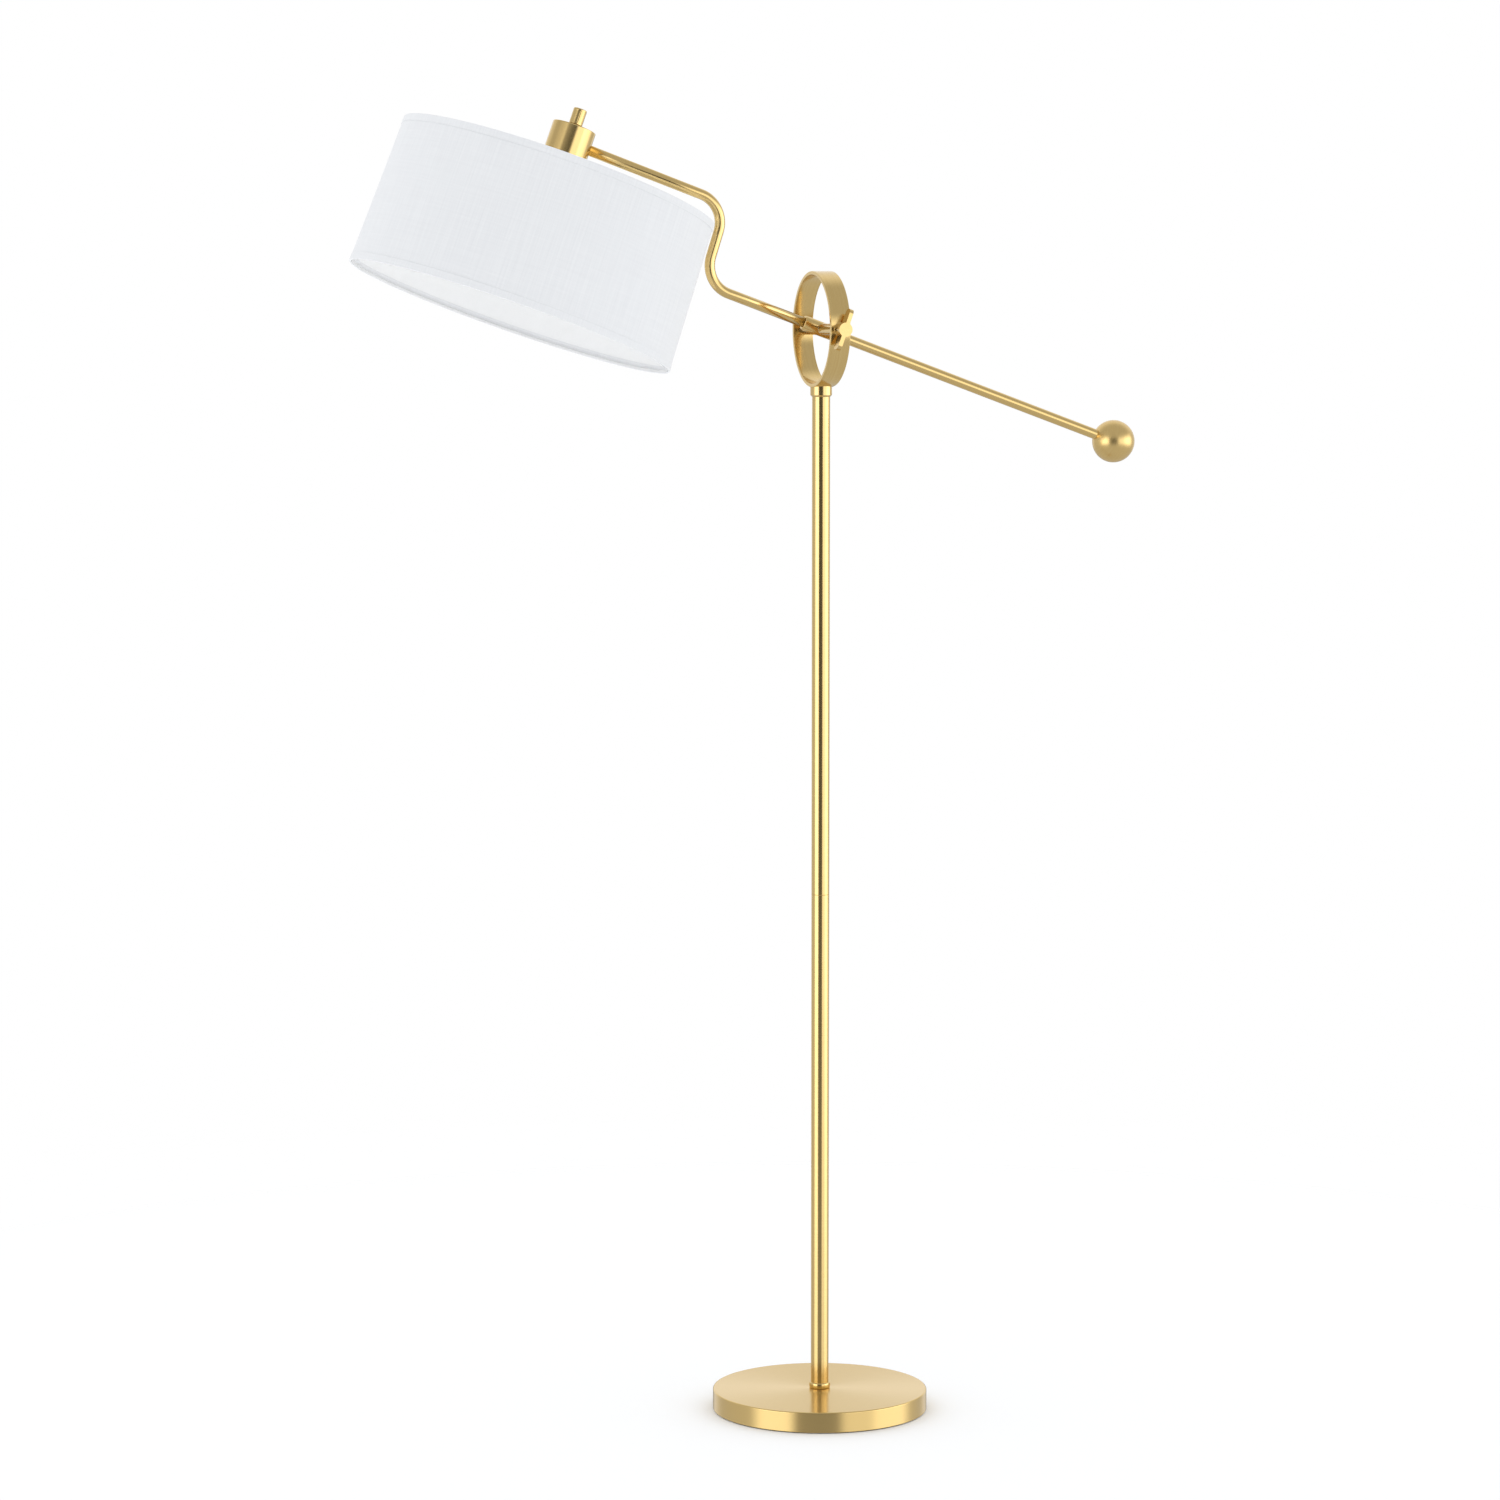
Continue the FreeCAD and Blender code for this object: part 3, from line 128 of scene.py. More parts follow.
def rounded(corners, closed):
    # Profile with rounded corners. A corner is (radius, height) or (radius, height, rounding): its
    # arc touches both sides, and each straight stretch also gets a point close to each of its ends,
    # so that flat faces keep their own shading.
    spots = np.array([corner[:2] for corner in corners], float)
    soft = [corner[2] if len(corner) > 2 else 0.0 for corner in corners]
    stretches = []
    for i, spot in enumerate(spots):
        if soft[i] == 0.0:
            stretches.append(spot[None])
            continue
        back = spots[i - 1] - spot
        ahead = spots[(i + 1) % len(spots)] - spot
        back, ahead = back / np.linalg.norm(back), ahead / np.linalg.norm(ahead)
        half = np.arccos(np.clip(back @ ahead, -1, 1)) / 2
        middle = (back + ahead) / np.linalg.norm(back + ahead)
        centre = spot + middle * soft[i] / np.sin(half)
        sweep = np.linspace(-1, 1, sectionLook["arcSteps"] + 1)[:, None] * (np.pi / 2 - half)
        side = (ahead - back) / np.linalg.norm(ahead - back)
        stretches.append(centre - soft[i] * np.cos(sweep) * middle + soft[i] * np.sin(sweep) * side)
    line = []
    count = len(stretches)
    for i, stretch in enumerate(stretches):
        line.append(stretch)
        if i + 1 < count or closed:
            start, end = stretch[-1], stretches[(i + 1) % count][0]
            length = np.linalg.norm(end - start)
            inset = min(sectionLook["guard"], sectionLook["guardShare"] * length)
            if length > sectionLook["shortest"]:
                line.append(start + (end - start) * np.array([[inset], [length - inset]]) / length)
    return np.concatenate(line)


def tubeSection(size, soft):
    # the section of a plain tube, a rectangle whose outer corners are rounded
    return rounded([(size.inner, size.low), (size.outer, size.low, soft), (size.outer, size.top, soft),
                    (size.inner, size.top)], True)


def turnedPiece(name, profile, origin, axis, columns=96, closed=False, shape=None):
    # Profile (radius, height) carried round the axis: radius times cosine and sine in the two cross
    # directions, plus height along the axis. shape may change the radius with height and angle.
    angle = np.linspace(0, 2 * np.pi, columns + 1)
    radius = np.repeat(profile[:, :1], columns, 1)
    if shape is not None:
        radius = shape(radius, profile[:, 1:], angle[None, :-1])
    first, second = crossAxes(axis)
    around = np.cos(angle[:-1])[:, None] * first + np.sin(angle[:-1])[:, None] * second
    grid = origin + radius[:, :, None] * around + profile[:, 1][:, None, None] * axis
    ends = np.vstack([profile, profile[:1]]) if closed else profile
    across = np.concatenate([[0], np.cumsum(np.linalg.norm(np.diff(ends, axis=0), axis=1))])
    mean = profile[:, 0].mean()
    grain = np.stack(np.broadcast_arrays(mean * np.cos(angle[:-1]), mean * np.sin(angle[:-1]),
                                         across[:len(profile), None]), -1)
    return surface(name, grid, across, angle * mean, grain, closed)


def sweptBar(name, path, radius, columns=40):
    # A round bar along a path in the arm's plane: each ring of points is square to the path, and both
    # ends close in a point.
    ahead = np.gradient(path, axis=0)
    ahead /= np.linalg.norm(ahead, axis=1)[:, None]
    side = np.broadcast_to(nearAxle, ahead.shape)
    rise = np.cross(ahead, side)
    angle = np.linspace(0, 2 * np.pi, columns + 1)
    circle = (side[:, None] * np.cos(angle[:-1])[None, :, None]
              + rise[:, None] * np.sin(angle[:-1])[None, :, None])
    start, end = [np.repeat(point, columns, 0)[None] for point in (path[:1], path[-1:])]
    grid = np.concatenate([start, path[:, None] + radius * circle, end])
    length = np.concatenate([[0], np.cumsum(np.linalg.norm(np.diff(path, axis=0), axis=1))])
    across = np.concatenate([[-radius], length, [length[-1] + radius]])
    grain = np.stack(np.broadcast_arrays(radius * np.cos(angle[:-1]), radius * np.sin(angle[:-1]),
                                         across[:, None]), -1)
    return surface(name, grid[:, ::-1], across, angle[::-1] * radius, grain[:, ::-1])


def roundedPath(corners, radius, spacing):
    # Straight runs joined by arcs of one radius: on each arc a point turns about the arc's centre.
    stretches = [corners[:1]]
    for back, spot, ahead in zip(corners, corners[1:], corners[2:]):
        before, after = back - spot, ahead - spot
        before, after = before / np.linalg.norm(before), after / np.linalg.norm(after)
        half = np.arccos(before @ after) / 2
        middle = (before + after) / np.linalg.norm(before + after)
        centre = spot + middle * radius / np.sin(half)
        side = (after - before) / np.linalg.norm(after - before)
        count = int(np.ceil(radius * (np.pi - 2 * half) / spacing))
        sweep = np.linspace(-1, 1, count + 1)[:, None] * (np.pi / 2 - half)
        stretches.append(centre - radius * np.cos(sweep) * middle + radius * np.sin(sweep) * side)
    stretches.append(corners[-1:])
    return np.concatenate(stretches)


def keep(node, piece, finish):
    # a finished piece stands for a node, rides on its body and has its slot
    piece.data.materials.append(finish)
    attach(piece, bodyOf[node])
    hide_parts(node)
    return piece


def keepTurned(node, profile, origin, axis, finish, **how):
    return keep(node, turnedPiece(node + "_skin", profile, origin, axis, **how), finish)


drillLook = {"columns": 48, "sharpFrom": math.radians(40)}


def drill(piece, start, end, radius):
    # a round hole from start to end, cut with a closed bar; its rim stays sharp
    length = np.linalg.norm(end - start)
    profile = np.array([(0, 0), (radius, 0), (radius, length), (0, length)])
    bar = turnedPiece("drill", profile, start, (end - start) / length, drillLook["columns"])
    cutter = piece.modifiers.new("hole", "BOOLEAN")
    cutter.operation = "DIFFERENCE"
    cutter.solver = "EXACT"
    cutter.object = bar
    bpy.context.view_layer.update()
    cut = bpy.data.meshes.new_from_object(piece.evaluated_get(bpy.context.evaluated_depsgraph_get()))
    cut.set_sharp_from_angle(angle=drillLook["sharpFrom"])
    piece.modifiers.clear()
    piece.data = cut
    bpy.data.objects.remove(bar)


def addNode(tree, kind, links=None, **settings):
    # a shader node: links gives an input a socket to read or a fixed value, settings are its own
    made = tree.nodes.new(kind)
    for key, amount in settings.items():
        setattr(made, key, amount)
    for socket, source in (links or {}).items():
        target = made.inputs[socket]
        if isinstance(source, bpy.types.NodeSocket):
            tree.links.new(source, target)
        else:
            target.default_value = source
    return made


def compute(tree, operation, *values):
    # one step of arithmetic on sockets or numbers
    return addNode(tree, "ShaderNodeMath", dict(enumerate(values)), operation=operation).outputs[0]


def noise(tree, place, scale, detail, roughness=0.5):
    return addNode(tree, "ShaderNodeTexNoise", {"Vector": place, "Scale": scale, "Detail": detail,
                                                "Roughness": roughness}).outputs[0]


def newGroup(name, inputs, outputs):
    # a node group with its inputs as (name, kind, value) and its outputs as values
    tree = bpy.data.node_groups.new(name, "ShaderNodeTree")
    for label, kind, value in inputs:
        socket = tree.interface.new_socket(label, in_out="INPUT", socket_type=kind)
        if value is not None:
            socket.default_value = value
    for label in outputs:
        tree.interface.new_socket(label, in_out="OUTPUT", socket_type="NodeSocketFloat")
    return tree, tree.nodes.new("NodeGroupInput").outputs, tree.nodes.new("NodeGroupOutput").inputs


streakLook = {"widths": (1.0, 0.27), "detail": 2.0, "roughness": 0.6, "patchScale": 22.0, "patchDetail": 3.0}


def makeStreakGroup():
    # fine scratches: noise read from stretched coordinates, in two widths, as a value round 0.5
    tree, given, out = newGroup("brushedStreaks", [
        ("Vector", "NodeSocketVector", None), ("Across", "NodeSocketFloat", 2500.0),
        ("Along", "NodeSocketFloat", 30.0)], ["Streak", "Patch"])
    parts = addNode(tree, "ShaderNodeSeparateXYZ", {0: given["Vector"]}).outputs
    widths = []
    for share in streakLook["widths"]:
        along = compute(tree, "MULTIPLY", given["Along"], share)
        across = compute(tree, "MULTIPLY", given["Across"], share)
        stretched = addNode(tree, "ShaderNodeCombineXYZ", {
            0: compute(tree, "MULTIPLY", parts[0], along),
            1: compute(tree, "MULTIPLY", parts[1], along),
            2: compute(tree, "MULTIPLY", parts[2], across)})
        widths.append(noise(tree, stretched.outputs[0], 1.0, streakLook["detail"], streakLook["roughness"]))
    tree.links.new(compute(tree, "MULTIPLY", compute(tree, "ADD", *widths), 0.5), out["Streak"])
    tree.links.new(noise(tree, given["Vector"], streakLook["patchScale"], streakLook["patchDetail"]),
                   out["Patch"])
    return tree


weaveLook = {
    "wanderScale": 90.0, "wanderDetail": 2.0, "wander": 2.2,  # how far threads wander, in threads
    "crossing": 0.35,  # how much higher a thread stands where it passes over
    # thicker threads up the cloth and round it: stretch each way, noise, and share in the whole
    "slubs": [{"up": 9.0, "round": 420.0, "detail": 3.0, "roughness": 0.65, "share": 0.7},
              {"up": 380.0, "round": 14.0, "detail": 2.0, "roughness": 0.5, "share": 0.3}],
}


def makeWeaveGroup():
    # plain weave: two sets of threads as sine ridges that pass over and under, uneven in thickness,
    # with a few thicker threads (slubs) running both ways
    tree, given, out = newGroup("linenWeave", [
        ("Vector", "NodeSocketVector", None), ("Threads", "NodeSocketFloat", 1500.0),
        ("Slubs", "NodeSocketFloat", 0.5)], ["Height", "Tone"])
    parts = addNode(tree, "ShaderNodeSeparateXYZ", {0: given["Vector"]}).outputs
    wander = noise(tree, given["Vector"], weaveLook["wanderScale"], weaveLook["wanderDetail"])
    shift = compute(tree, "MULTIPLY", wander, weaveLook["wander"])
    waves = []
    for part in (parts[1], parts[0]):
        phase = compute(tree, "ADD", compute(tree, "MULTIPLY", part, given["Threads"]), shift)
        waves.append(compute(tree, "SINE", compute(tree, "MULTIPLY", phase, math.pi)))
    ridges = [compute(tree, "ABSOLUTE", wave) for wave in waves]
    over = compute(tree, "MULTIPLY", compute(tree, "MULTIPLY", *waves), weaveLook["crossing"])
    height = compute(tree, "ADD", compute(tree, "MAXIMUM", *ridges), over)
    slubs = []
    for look in weaveLook["slubs"]:
        stretched = addNode(tree, "ShaderNodeCombineXYZ", {
            0: compute(tree, "MULTIPLY", parts[0], look["up"]),
            1: compute(tree, "MULTIPLY", parts[1], look["round"])})
        thick = noise(tree, stretched.outputs[0], 1.0, look["detail"], look["roughness"])
        slubs.append(compute(tree, "MULTIPLY", thick, look["share"]))
    uneven = compute(tree, "ADD", *slubs)
    raised = compute(tree, "MULTIPLY", uneven, given["Slubs"])
    tree.links.new(compute(tree, "ADD", height, raised), out["Height"])
    tree.links.new(uneven, out["Tone"])
    return tree


speckleLook = {"detail": 4.0}


def makeSpeckleGroup():
    # fine and coarse noise for moulded, cast, felted and painted surfaces
    tree, given, out = newGroup("speckle", [
        ("Vector", "NodeSocketVector", None), ("Fine", "NodeSocketFloat", 1200.0),
        ("Coarse", "NodeSocketFloat", 60.0)], ["Fine", "Coarse"])
    for label in ("Fine", "Coarse"):
        tree.links.new(noise(tree, given["Vector"], given[label], speckleLook["detail"]), out[label])
    return tree


streakGroup = makeStreakGroup()
weaveGroup = makeWeaveGroup()
speckleGroup = makeSpeckleGroup()


def placeGroup(tree, group, links):
    return addNode(tree, "ShaderNodeGroup", links, node_tree=group).outputs


def newMaterial(name, settings):
    material = bpy.data.materials.new(name)
    material.use_nodes = True
    tree = material.node_tree
    shader = tree.nodes["Principled BSDF"]
    for socket, value in settings.items():
        shader.inputs[socket].default_value = value
    return material, tree, shader


def blendColour(tree, factor, dark, light, target, ends=(0.0, 1.0)):
    # the target's colour goes from dark to light as the factor goes from one end to the other
    ramp = addNode(tree, "ShaderNodeValToRGB", {0: factor})
    for element, colour, position in zip(ramp.color_ramp.elements, (dark, light), ends):
        element.color = (*colour, 1)
        element.position = position
    tree.links.new(ramp.outputs[0], target)


def blendValue(tree, factor, limits, target, ends=(0.0, 1.0)):
    # the target goes from one limit to the other as the factor goes from one end to the other
    spread = addNode(tree, "ShaderNodeMapRange", {"Value": factor, "From Min": ends[0], "From Max": ends[1],
                                                  "To Min": limits[0], "To Max": limits[1]})
    tree.links.new(spread.outputs[0], target)


def bumpFrom(tree, height, bump, target):
    # bump is its strength and its depth
    made = addNode(tree, "ShaderNodeBump", {"Height": height, "Strength": bump[0], "Distance": bump[1]})
    tree.links.new(made.outputs[0], target)


brass = {
    "dark": (0.74, 0.52, 0.20), "light": (0.84, 0.625, 0.275),
    "contrast": (0.3, 0.7),  # streak values that give the darkest and the lightest
    "scratch": (0.02, 0.05 * mm),
    "patchShare": 0.3,  # how much of the roughness comes in patches rather than streaks
    "lacquer": {"Coat Weight": 0.1, "Coat Roughness": 0.1},
}


def makeBrass(name, across, along, spread, rough, ownGrain=True):
    # Satin brass, brushed round the piece and lacquered. Streaks come from the piece's own grain, or
    # lie level round the upright. across and along are how many there are in a metre each way, and
    # spread is how much further reflections smear across them.
    material, tree, shader = newMaterial(name, {"Metallic": 1.0, "Anisotropic": spread, **brass["lacquer"]})
    if ownGrain:
        source = addNode(tree, "ShaderNodeAttribute", attribute_name="grain").outputs["Vector"]
        tangent = addNode(tree, "ShaderNodeTangent", direction_type="UV_MAP", uv_map="UVMap")
    else:
        source = addNode(tree, "ShaderNodeTexCoord").outputs["Object"]
        tangent = addNode(tree, "ShaderNodeTangent", direction_type="RADIAL", axis="Z")
    streaks = placeGroup(tree, streakGroup, {"Vector": source, "Across": across, "Along": along})
    blendColour(tree, streaks["Streak"], brass["dark"], brass["light"], shader.inputs["Base Color"],
                brass["contrast"])
    wear = compute(tree, "ADD", compute(tree, "MULTIPLY", streaks["Streak"], 1 - brass["patchShare"]),
                   compute(tree, "MULTIPLY", streaks["Patch"], brass["patchShare"]))
    blendValue(tree, wear, rough, shader.inputs["Roughness"], brass["contrast"])
    bumpFrom(tree, streaks["Streak"], brass["scratch"], shader.inputs["Normal"])
    tree.links.new(tangent.outputs[0], shader.inputs["Tangent"])
    return material


brushedBrass = makeBrass("brushedBrass", across=2600.0, along=14.0, spread=0.3, rough=(0.14, 0.20))
turnedBrass = makeBrass("turnedBrass", across=1500.0, along=5.0, spread=0.8, rough=(0.22, 0.30))
spunBrass = makeBrass("spunBrass", across=1500.0, along=5.0, spread=0.0, rough=(0.27, 0.35))
standingBrass = makeBrass("standingBrass", across=2600.0, along=14.0, spread=0.3, rough=(0.14, 0.20),
                          ownGrain=False)


speckledLook = {"middle": (0.25, 0.75)}  # noise values between which roughness changes


def makeSpeckled(name, dark, light, rough, grains, bump, settings=None):
    # coarse noise blends two colours and sets the roughness, and fine noise is the bump; grains are the
    # fine and the coarse one's scale
    material, tree, shader = newMaterial(name, settings or {})
    place = addNode(tree, "ShaderNodeTexCoord").outputs["Object"]
    speckle = placeGroup(tree, speckleGroup, {"Vector": place, "Fine": grains[0], "Coarse": grains[1]})
    blendColour(tree, speckle["Coarse"], dark, light, shader.inputs["Base Color"])
    blendValue(tree, speckle["Coarse"], rough, shader.inputs["Roughness"], speckledLook["middle"])
    bumpFrom(tree, speckle["Fine"], bump, shader.inputs["Normal"])
    return material


satinBrass = makeSpeckled("satinBrass", brass["dark"], brass["light"], rough=(0.15, 0.21),
                          grains=(1600.0, 150.0), bump=(0.06, 0.03 * mm),
                          settings={"Metallic": 1.0, **brass["lacquer"]})
zincSteel = makeSpeckled("zincSteel", (0.42, 0.43, 0.45), (0.60, 0.60, 0.62), rough=(0.26, 0.42),
                         grains=(900.0, 120.0), bump=(0.15, 0.05 * mm), settings={"Metallic": 1.0})
castIron = makeSpeckled("castIron", (0.03, 0.03, 0.032), (0.075, 0.075, 0.08), rough=(0.55, 0.8),
                        grains=(650.0, 70.0), bump=(0.6, 0.3 * mm), settings={"Metallic": 0.6})
rolledAluminium = makeSpeckled("rolledAluminium", (0.70, 0.71, 0.73), (0.82, 0.83, 0.84), rough=(0.22, 0.34),
                               grains=(1400.0, 200.0), bump=(0.1, 0.03 * mm), settings={"Metallic": 1.0})
denseFelt = makeSpeckled("denseFelt", (0.012, 0.012, 0.014), (0.035, 0.035, 0.04), rough=(0.9, 1.0),
                         grains=(2200.0, 240.0), bump=(0.9, 0.4 * mm),
                         settings={"Sheen Weight": 0.4, "Sheen Roughness": 0.6})
blackRubber = makeSpeckled("blackRubber", (0.010, 0.010, 0.011), (0.022, 0.022, 0.023), rough=(0.5, 0.68),
                           grains=(1500.0, 90.0), bump=(0.25, 0.05 * mm))
blackMoulding = makeSpeckled("blackMoulding", (0.010, 0.010, 0.011), (0.018, 0.018, 0.019),
                             rough=(0.34, 0.46), grains=(2400.0, 80.0), bump=(0.15, 0.03 * mm))
whiteMoulding = makeSpeckled("whiteMoulding", (0.70, 0.70, 0.67), (0.80, 0.80, 0.77), rough=(0.36, 0.5),
                             grains=(2000.0, 90.0), bump=(0.12, 0.03 * mm))
creamNylon = makeSpeckled("creamNylon", (0.66, 0.62, 0.52), (0.76, 0.73, 0.64), rough=(0.38, 0.52),
                          grains=(1800.0, 90.0), bump=(0.12, 0.03 * mm))
leadSheath = makeSpeckled("leadSheath", (0.76, 0.70, 0.56), (0.84, 0.79, 0.66), rough=(0.3, 0.42),
                          grains=(1200.0, 60.0), bump=(0.08, 0.03 * mm))
powderWhite = makeSpeckled("powderWhite", (0.74, 0.745, 0.75), (0.82, 0.825, 0.83), rough=(0.38, 0.5),
                           grains=(1500.0, 70.0), bump=(0.3, 0.06 * mm))
stiffLining = makeSpeckled("stiffLining", (0.90, 0.905, 0.91), (0.94, 0.945, 0.95), rough=(0.5, 0.62),
                           grains=(1800.0, 40.0), bump=(0.10, 0.04 * mm))

linenLook = {
    "dark": (0.79, 0.80, 0.82), "light": (0.855, 0.865, 0.88), "contrast": (0.3, 0.7),
    "rough": (0.82, 0.95), "bump": (0.25, 0.12 * mm),
    "threads": 1400.0,  # in a metre
    "slubs": 0.6,  # how far they stand out
    "fibre": {"Sheen Weight": 0.15, "Sheen Roughness": 0.5, "Specular IOR Level": 0.25},
}


def makeLinen():
    # woven threads that follow the cloth's own UV map; thicker threads are lighter
    material, tree, shader = newMaterial("whiteLinen", linenLook["fibre"])
    place = addNode(tree, "ShaderNodeUVMap", uv_map="UVMap").outputs[0]
    weave = placeGroup(tree, weaveGroup, {"Vector": place, "Threads": linenLook["threads"],
                                          "Slubs": linenLook["slubs"]})
    blendColour(tree, weave["Tone"], linenLook["dark"], linenLook["light"], shader.inputs["Base Color"],
                linenLook["contrast"])
    blendValue(tree, weave["Tone"], linenLook["rough"], shader.inputs["Roughness"])
    bumpFrom(tree, weave["Height"], linenLook["bump"], shader.inputs["Normal"])
    return material


opalLook = {
    "dark": (0.88, 0.88, 0.87), "light": (0.94, 0.94, 0.93), "rough": (0.32, 0.46), "grains": (1500.0, 60.0),
    "glass": {"Transmission Weight": 0.25, "IOR": 1.45, "Coat Weight": 0.3, "Coat Roughness": 0.15},
}


def makeOpal():
    # frosted glass: white and soft, with a slightly uneven frost
    material, tree, shader = newMaterial("opalGlass", opalLook["glass"])
    place = addNode(tree, "ShaderNodeTexCoord").outputs["Object"]
    fine, coarse = opalLook["grains"]
    speckle = placeGroup(tree, speckleGroup, {"Vector": place, "Fine": fine, "Coarse": coarse})
    blendColour(tree, speckle["Coarse"], opalLook["dark"], opalLook["light"], shader.inputs["Base Color"])
    blendValue(tree, speckle["Fine"], opalLook["rough"], shader.inputs["Roughness"])
    return material


whiteLinen = makeLinen()
opalGlass = makeOpal()

finishes = {
    "brass_brushed": brushedBrass, "brass_turned": turnedBrass, "cast_iron": castIron, "steel": zincSteel,
    "aluminium": rolledAluminium, "felt": denseFelt, "black_rubber": blackRubber,
    "white_plastic": whiteMoulding, "black_plastic": blackMoulding, "nylon": creamNylon,
    "lead_sheath": leadSheath, "linen": whiteLinen, "shade_lining": stiffLining, "white_wire": powderWhite,
    "bulb_glass": opalGlass,
}
# brass nodes without a grain of their own
ownFinish = dict.fromkeys(("tension_knob", "pivot_sleeve", "axle_cap_nut", "holder_contact"), satinBrass)
ownFinish["ring_neck"] = standingBrass
for name, part in nodes.items():
    part.data.materials[0] = ownFinish.get(name, finishes[slotOf[name]])
print("finishes:", len(finishes))


baseLook = {"topRounding": 1.6 * mm, "hemRounding": 0.5 * mm, "columns": 288, "inletHole": 5.75 * mm,
            "holeReach": 4}  # in walls, inwards and outwards


def makeBase():
    # the cover's section, a wall with a softened top edge, carried round the upright; the inlet's hole
    # is drilled through its back
    cover = measure("base_cover", floorPoint, upward)
    wall = cover.top - measure("base_weight", floorPoint, upward).top
    hem = baseLook["hemRounding"]
    section = rounded([
        (cover.inner, cover.top - wall), (cover.outer - wall, cover.top - wall),
        (cover.outer - wall, cover.low), (cover.outer, cover.low, hem),
        (cover.outer, cover.top, baseLook["topRounding"]), (cover.inner, cover.top, hem)], True)
    skin = keepTurned("base_cover", section, floorPoint, upward, turnedBrass,
                      columns=baseLook["columns"], closed=True)
    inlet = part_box("cord_inlet")
    middle = np.array([0, 0, (inlet[0].z + inlet[1].z) / 2])
    reach = baseLook["holeReach"] * wall
    drill(skin, middle + [0, cover.outer - reach, 0], middle + [0, cover.outer + reach, 0],
          baseLook["inletHole"])


beadLook = {"bulge": 1.1 * mm, "steps": 15, "end": 0.999}


def makeBead():
    # Round bead: with height running from -1 to 1, its radius falls short of the widest by the bulge
    # times (1 less the square root of 1 less height squared).
    bead = measure("foot_bead", floorPoint, upward)
    height = np.linspace(-beadLook["end"], beadLook["end"], beadLook["steps"])
    radius = bead.outer - beadLook["bulge"] * (1 - np.sqrt(1 - height ** 2))
    side = np.stack([radius, (bead.low + bead.top) / 2 + height * (bead.top - bead.low) / 2], 1)
    section = np.vstack([[(bead.inner, bead.low)], side, [(bead.inner, bead.top)]])
    keepTurned("foot_bead", section, floorPoint, upward, brushedBrass, closed=True)


poleLook = {"seamRounding": 0.35 * mm}


def makePole():
    # each tube's section carried round the upright; the softened ends leave a fine line between them
    for node in ("pole_lower", "pole_upper"):
        section = tubeSection(measure(node, floorPoint, upward), poleLook["seamRounding"])
        keepTurned(node, section, floorPoint, upward, brushedBrass, closed=True)


ringLook = {"edgeRounding": 0.7 * mm, "linerRounding": 0.2 * mm, "columns": 256}


def makeRing():
    # The channel's section is a shallow U that opens inwards and the liner's is the strip that fills
    # it, both carried round the ring's axis.
    band = measure("ring_channel", pivot, ringAxis)
    liner = measure("ring_liner", pivot, ringAxis)
    soft, fine = ringLook["edgeRounding"], ringLook["linerRounding"]
    channel = rounded([
        (band.inner, band.low, soft), (band.outer, band.low, soft), (band.outer, band.top, soft),
        (band.inner, band.top, soft), (band.inner, liner.top), (liner.outer, liner.top),
        (liner.outer, liner.low), (band.inner, liner.low)], True)
    strip = rounded([(liner.inner, liner.low, fine), (liner.outer, liner.low), (liner.outer, liner.top),
                     (liner.inner, liner.top, fine)], True)
    for node, section in (("ring_channel", channel), ("ring_liner", strip)):
        keepTurned(node, section, pivot, ringAxis, brushedBrass, columns=ringLook["columns"], closed=True)


collars = {  # node: (origin, axis, rounding)
    "axle_spacer_near": (pivot, nearAxle, 0.4 * mm),
    "axle_spacer_far": (pivot, nearAxle, 0.4 * mm),
    "knob_washer": (pivot, nearAxle, 0.4 * mm),
    "switch_nut": (hubPoint, hubAxis, 0.5 * mm),
    "hub_plate": (hubPoint, hubAxis, 0.3 * mm),
    "fitter_ring": (hubPoint, hubAxis, 0.4 * mm),
    "shade_retainer": (hubPoint, hubAxis, 0.6 * mm),
}


def makeCollars():
    # plain turned rings on the axle, the hub and the holder: a tube's section carried round the axis
    for node, (origin, axis, soft) in collars.items():
        section = tubeSection(measure(node, origin, axis), soft)
        keepTurned(node, section, origin, axis, finishes[slotOf[node]], closed=True)


armLook = {"bendRadius": 36 * mm, "riserReach": 162.5 * mm, "riserLean": math.radians(2.3),
           "spacing": 1.5 * mm}


def makeArm():
    # A round bar swept along the arm's line: from the sleeve along the arm to the riser, up the riser,
    # which leans a little, and on to the hub, with an arc at both of the riser's ends.
    along = measure("arm_tube", pivot, armAxis)
    across = measure("arm_tube", pivot, hubAxis)
    radius = -across.low
    rise = across.top - radius
    reach = armLook["riserReach"]
    lean = rise * math.tan(armLook["riserLean"])
    flat = np.array([(along.top, 0), (-reach, 0), (-reach - lean, rise), (along.low, rise)])
    corners = pivot + flat[:, :1] * armAxis + flat[:, 1:] * hubAxis
    path = roundedPath(corners, armLook["bendRadius"], armLook["spacing"])
    keep("arm_tube", sweptBar("arm_tube_skin", path, radius), brushedBrass)


counterweightLook = {"rodRounding": 0.6 * mm, "ballSteps": 72, "ballColumns": 128}


def makeCounterweight():
    # The rod is a solid bar with softened ends. The ball's radius is its own times the sine of a turn
    # that starts at the rod's side and ends at the ball's far pole.
    rod = measure("counterweight_rod", pivot, armAxis)
    soft = counterweightLook["rodRounding"]
    bar = rounded([(0, rod.low), (rod.outer, rod.low, soft), (rod.outer, rod.top, soft), (0, rod.top)], False)
    keepTurned("counterweight_rod", bar, pivot, armAxis, brushedBrass)
    ball = measure("counterweight_ball", pivot, armAxis)
    turn = np.linspace(math.asin(rod.outer / ball.outer), np.pi, counterweightLook["ballSteps"])
    side = np.stack([ball.outer * np.sin(turn), ball.top - ball.outer - ball.outer * np.cos(turn)], 1)
    side[-1, 0] = 0
    side = np.vstack([[(0, side[0, 1])], side])
    keepTurned("counterweight_ball", side, pivot, armAxis, spunBrass,
               columns=counterweightLook["ballColumns"])


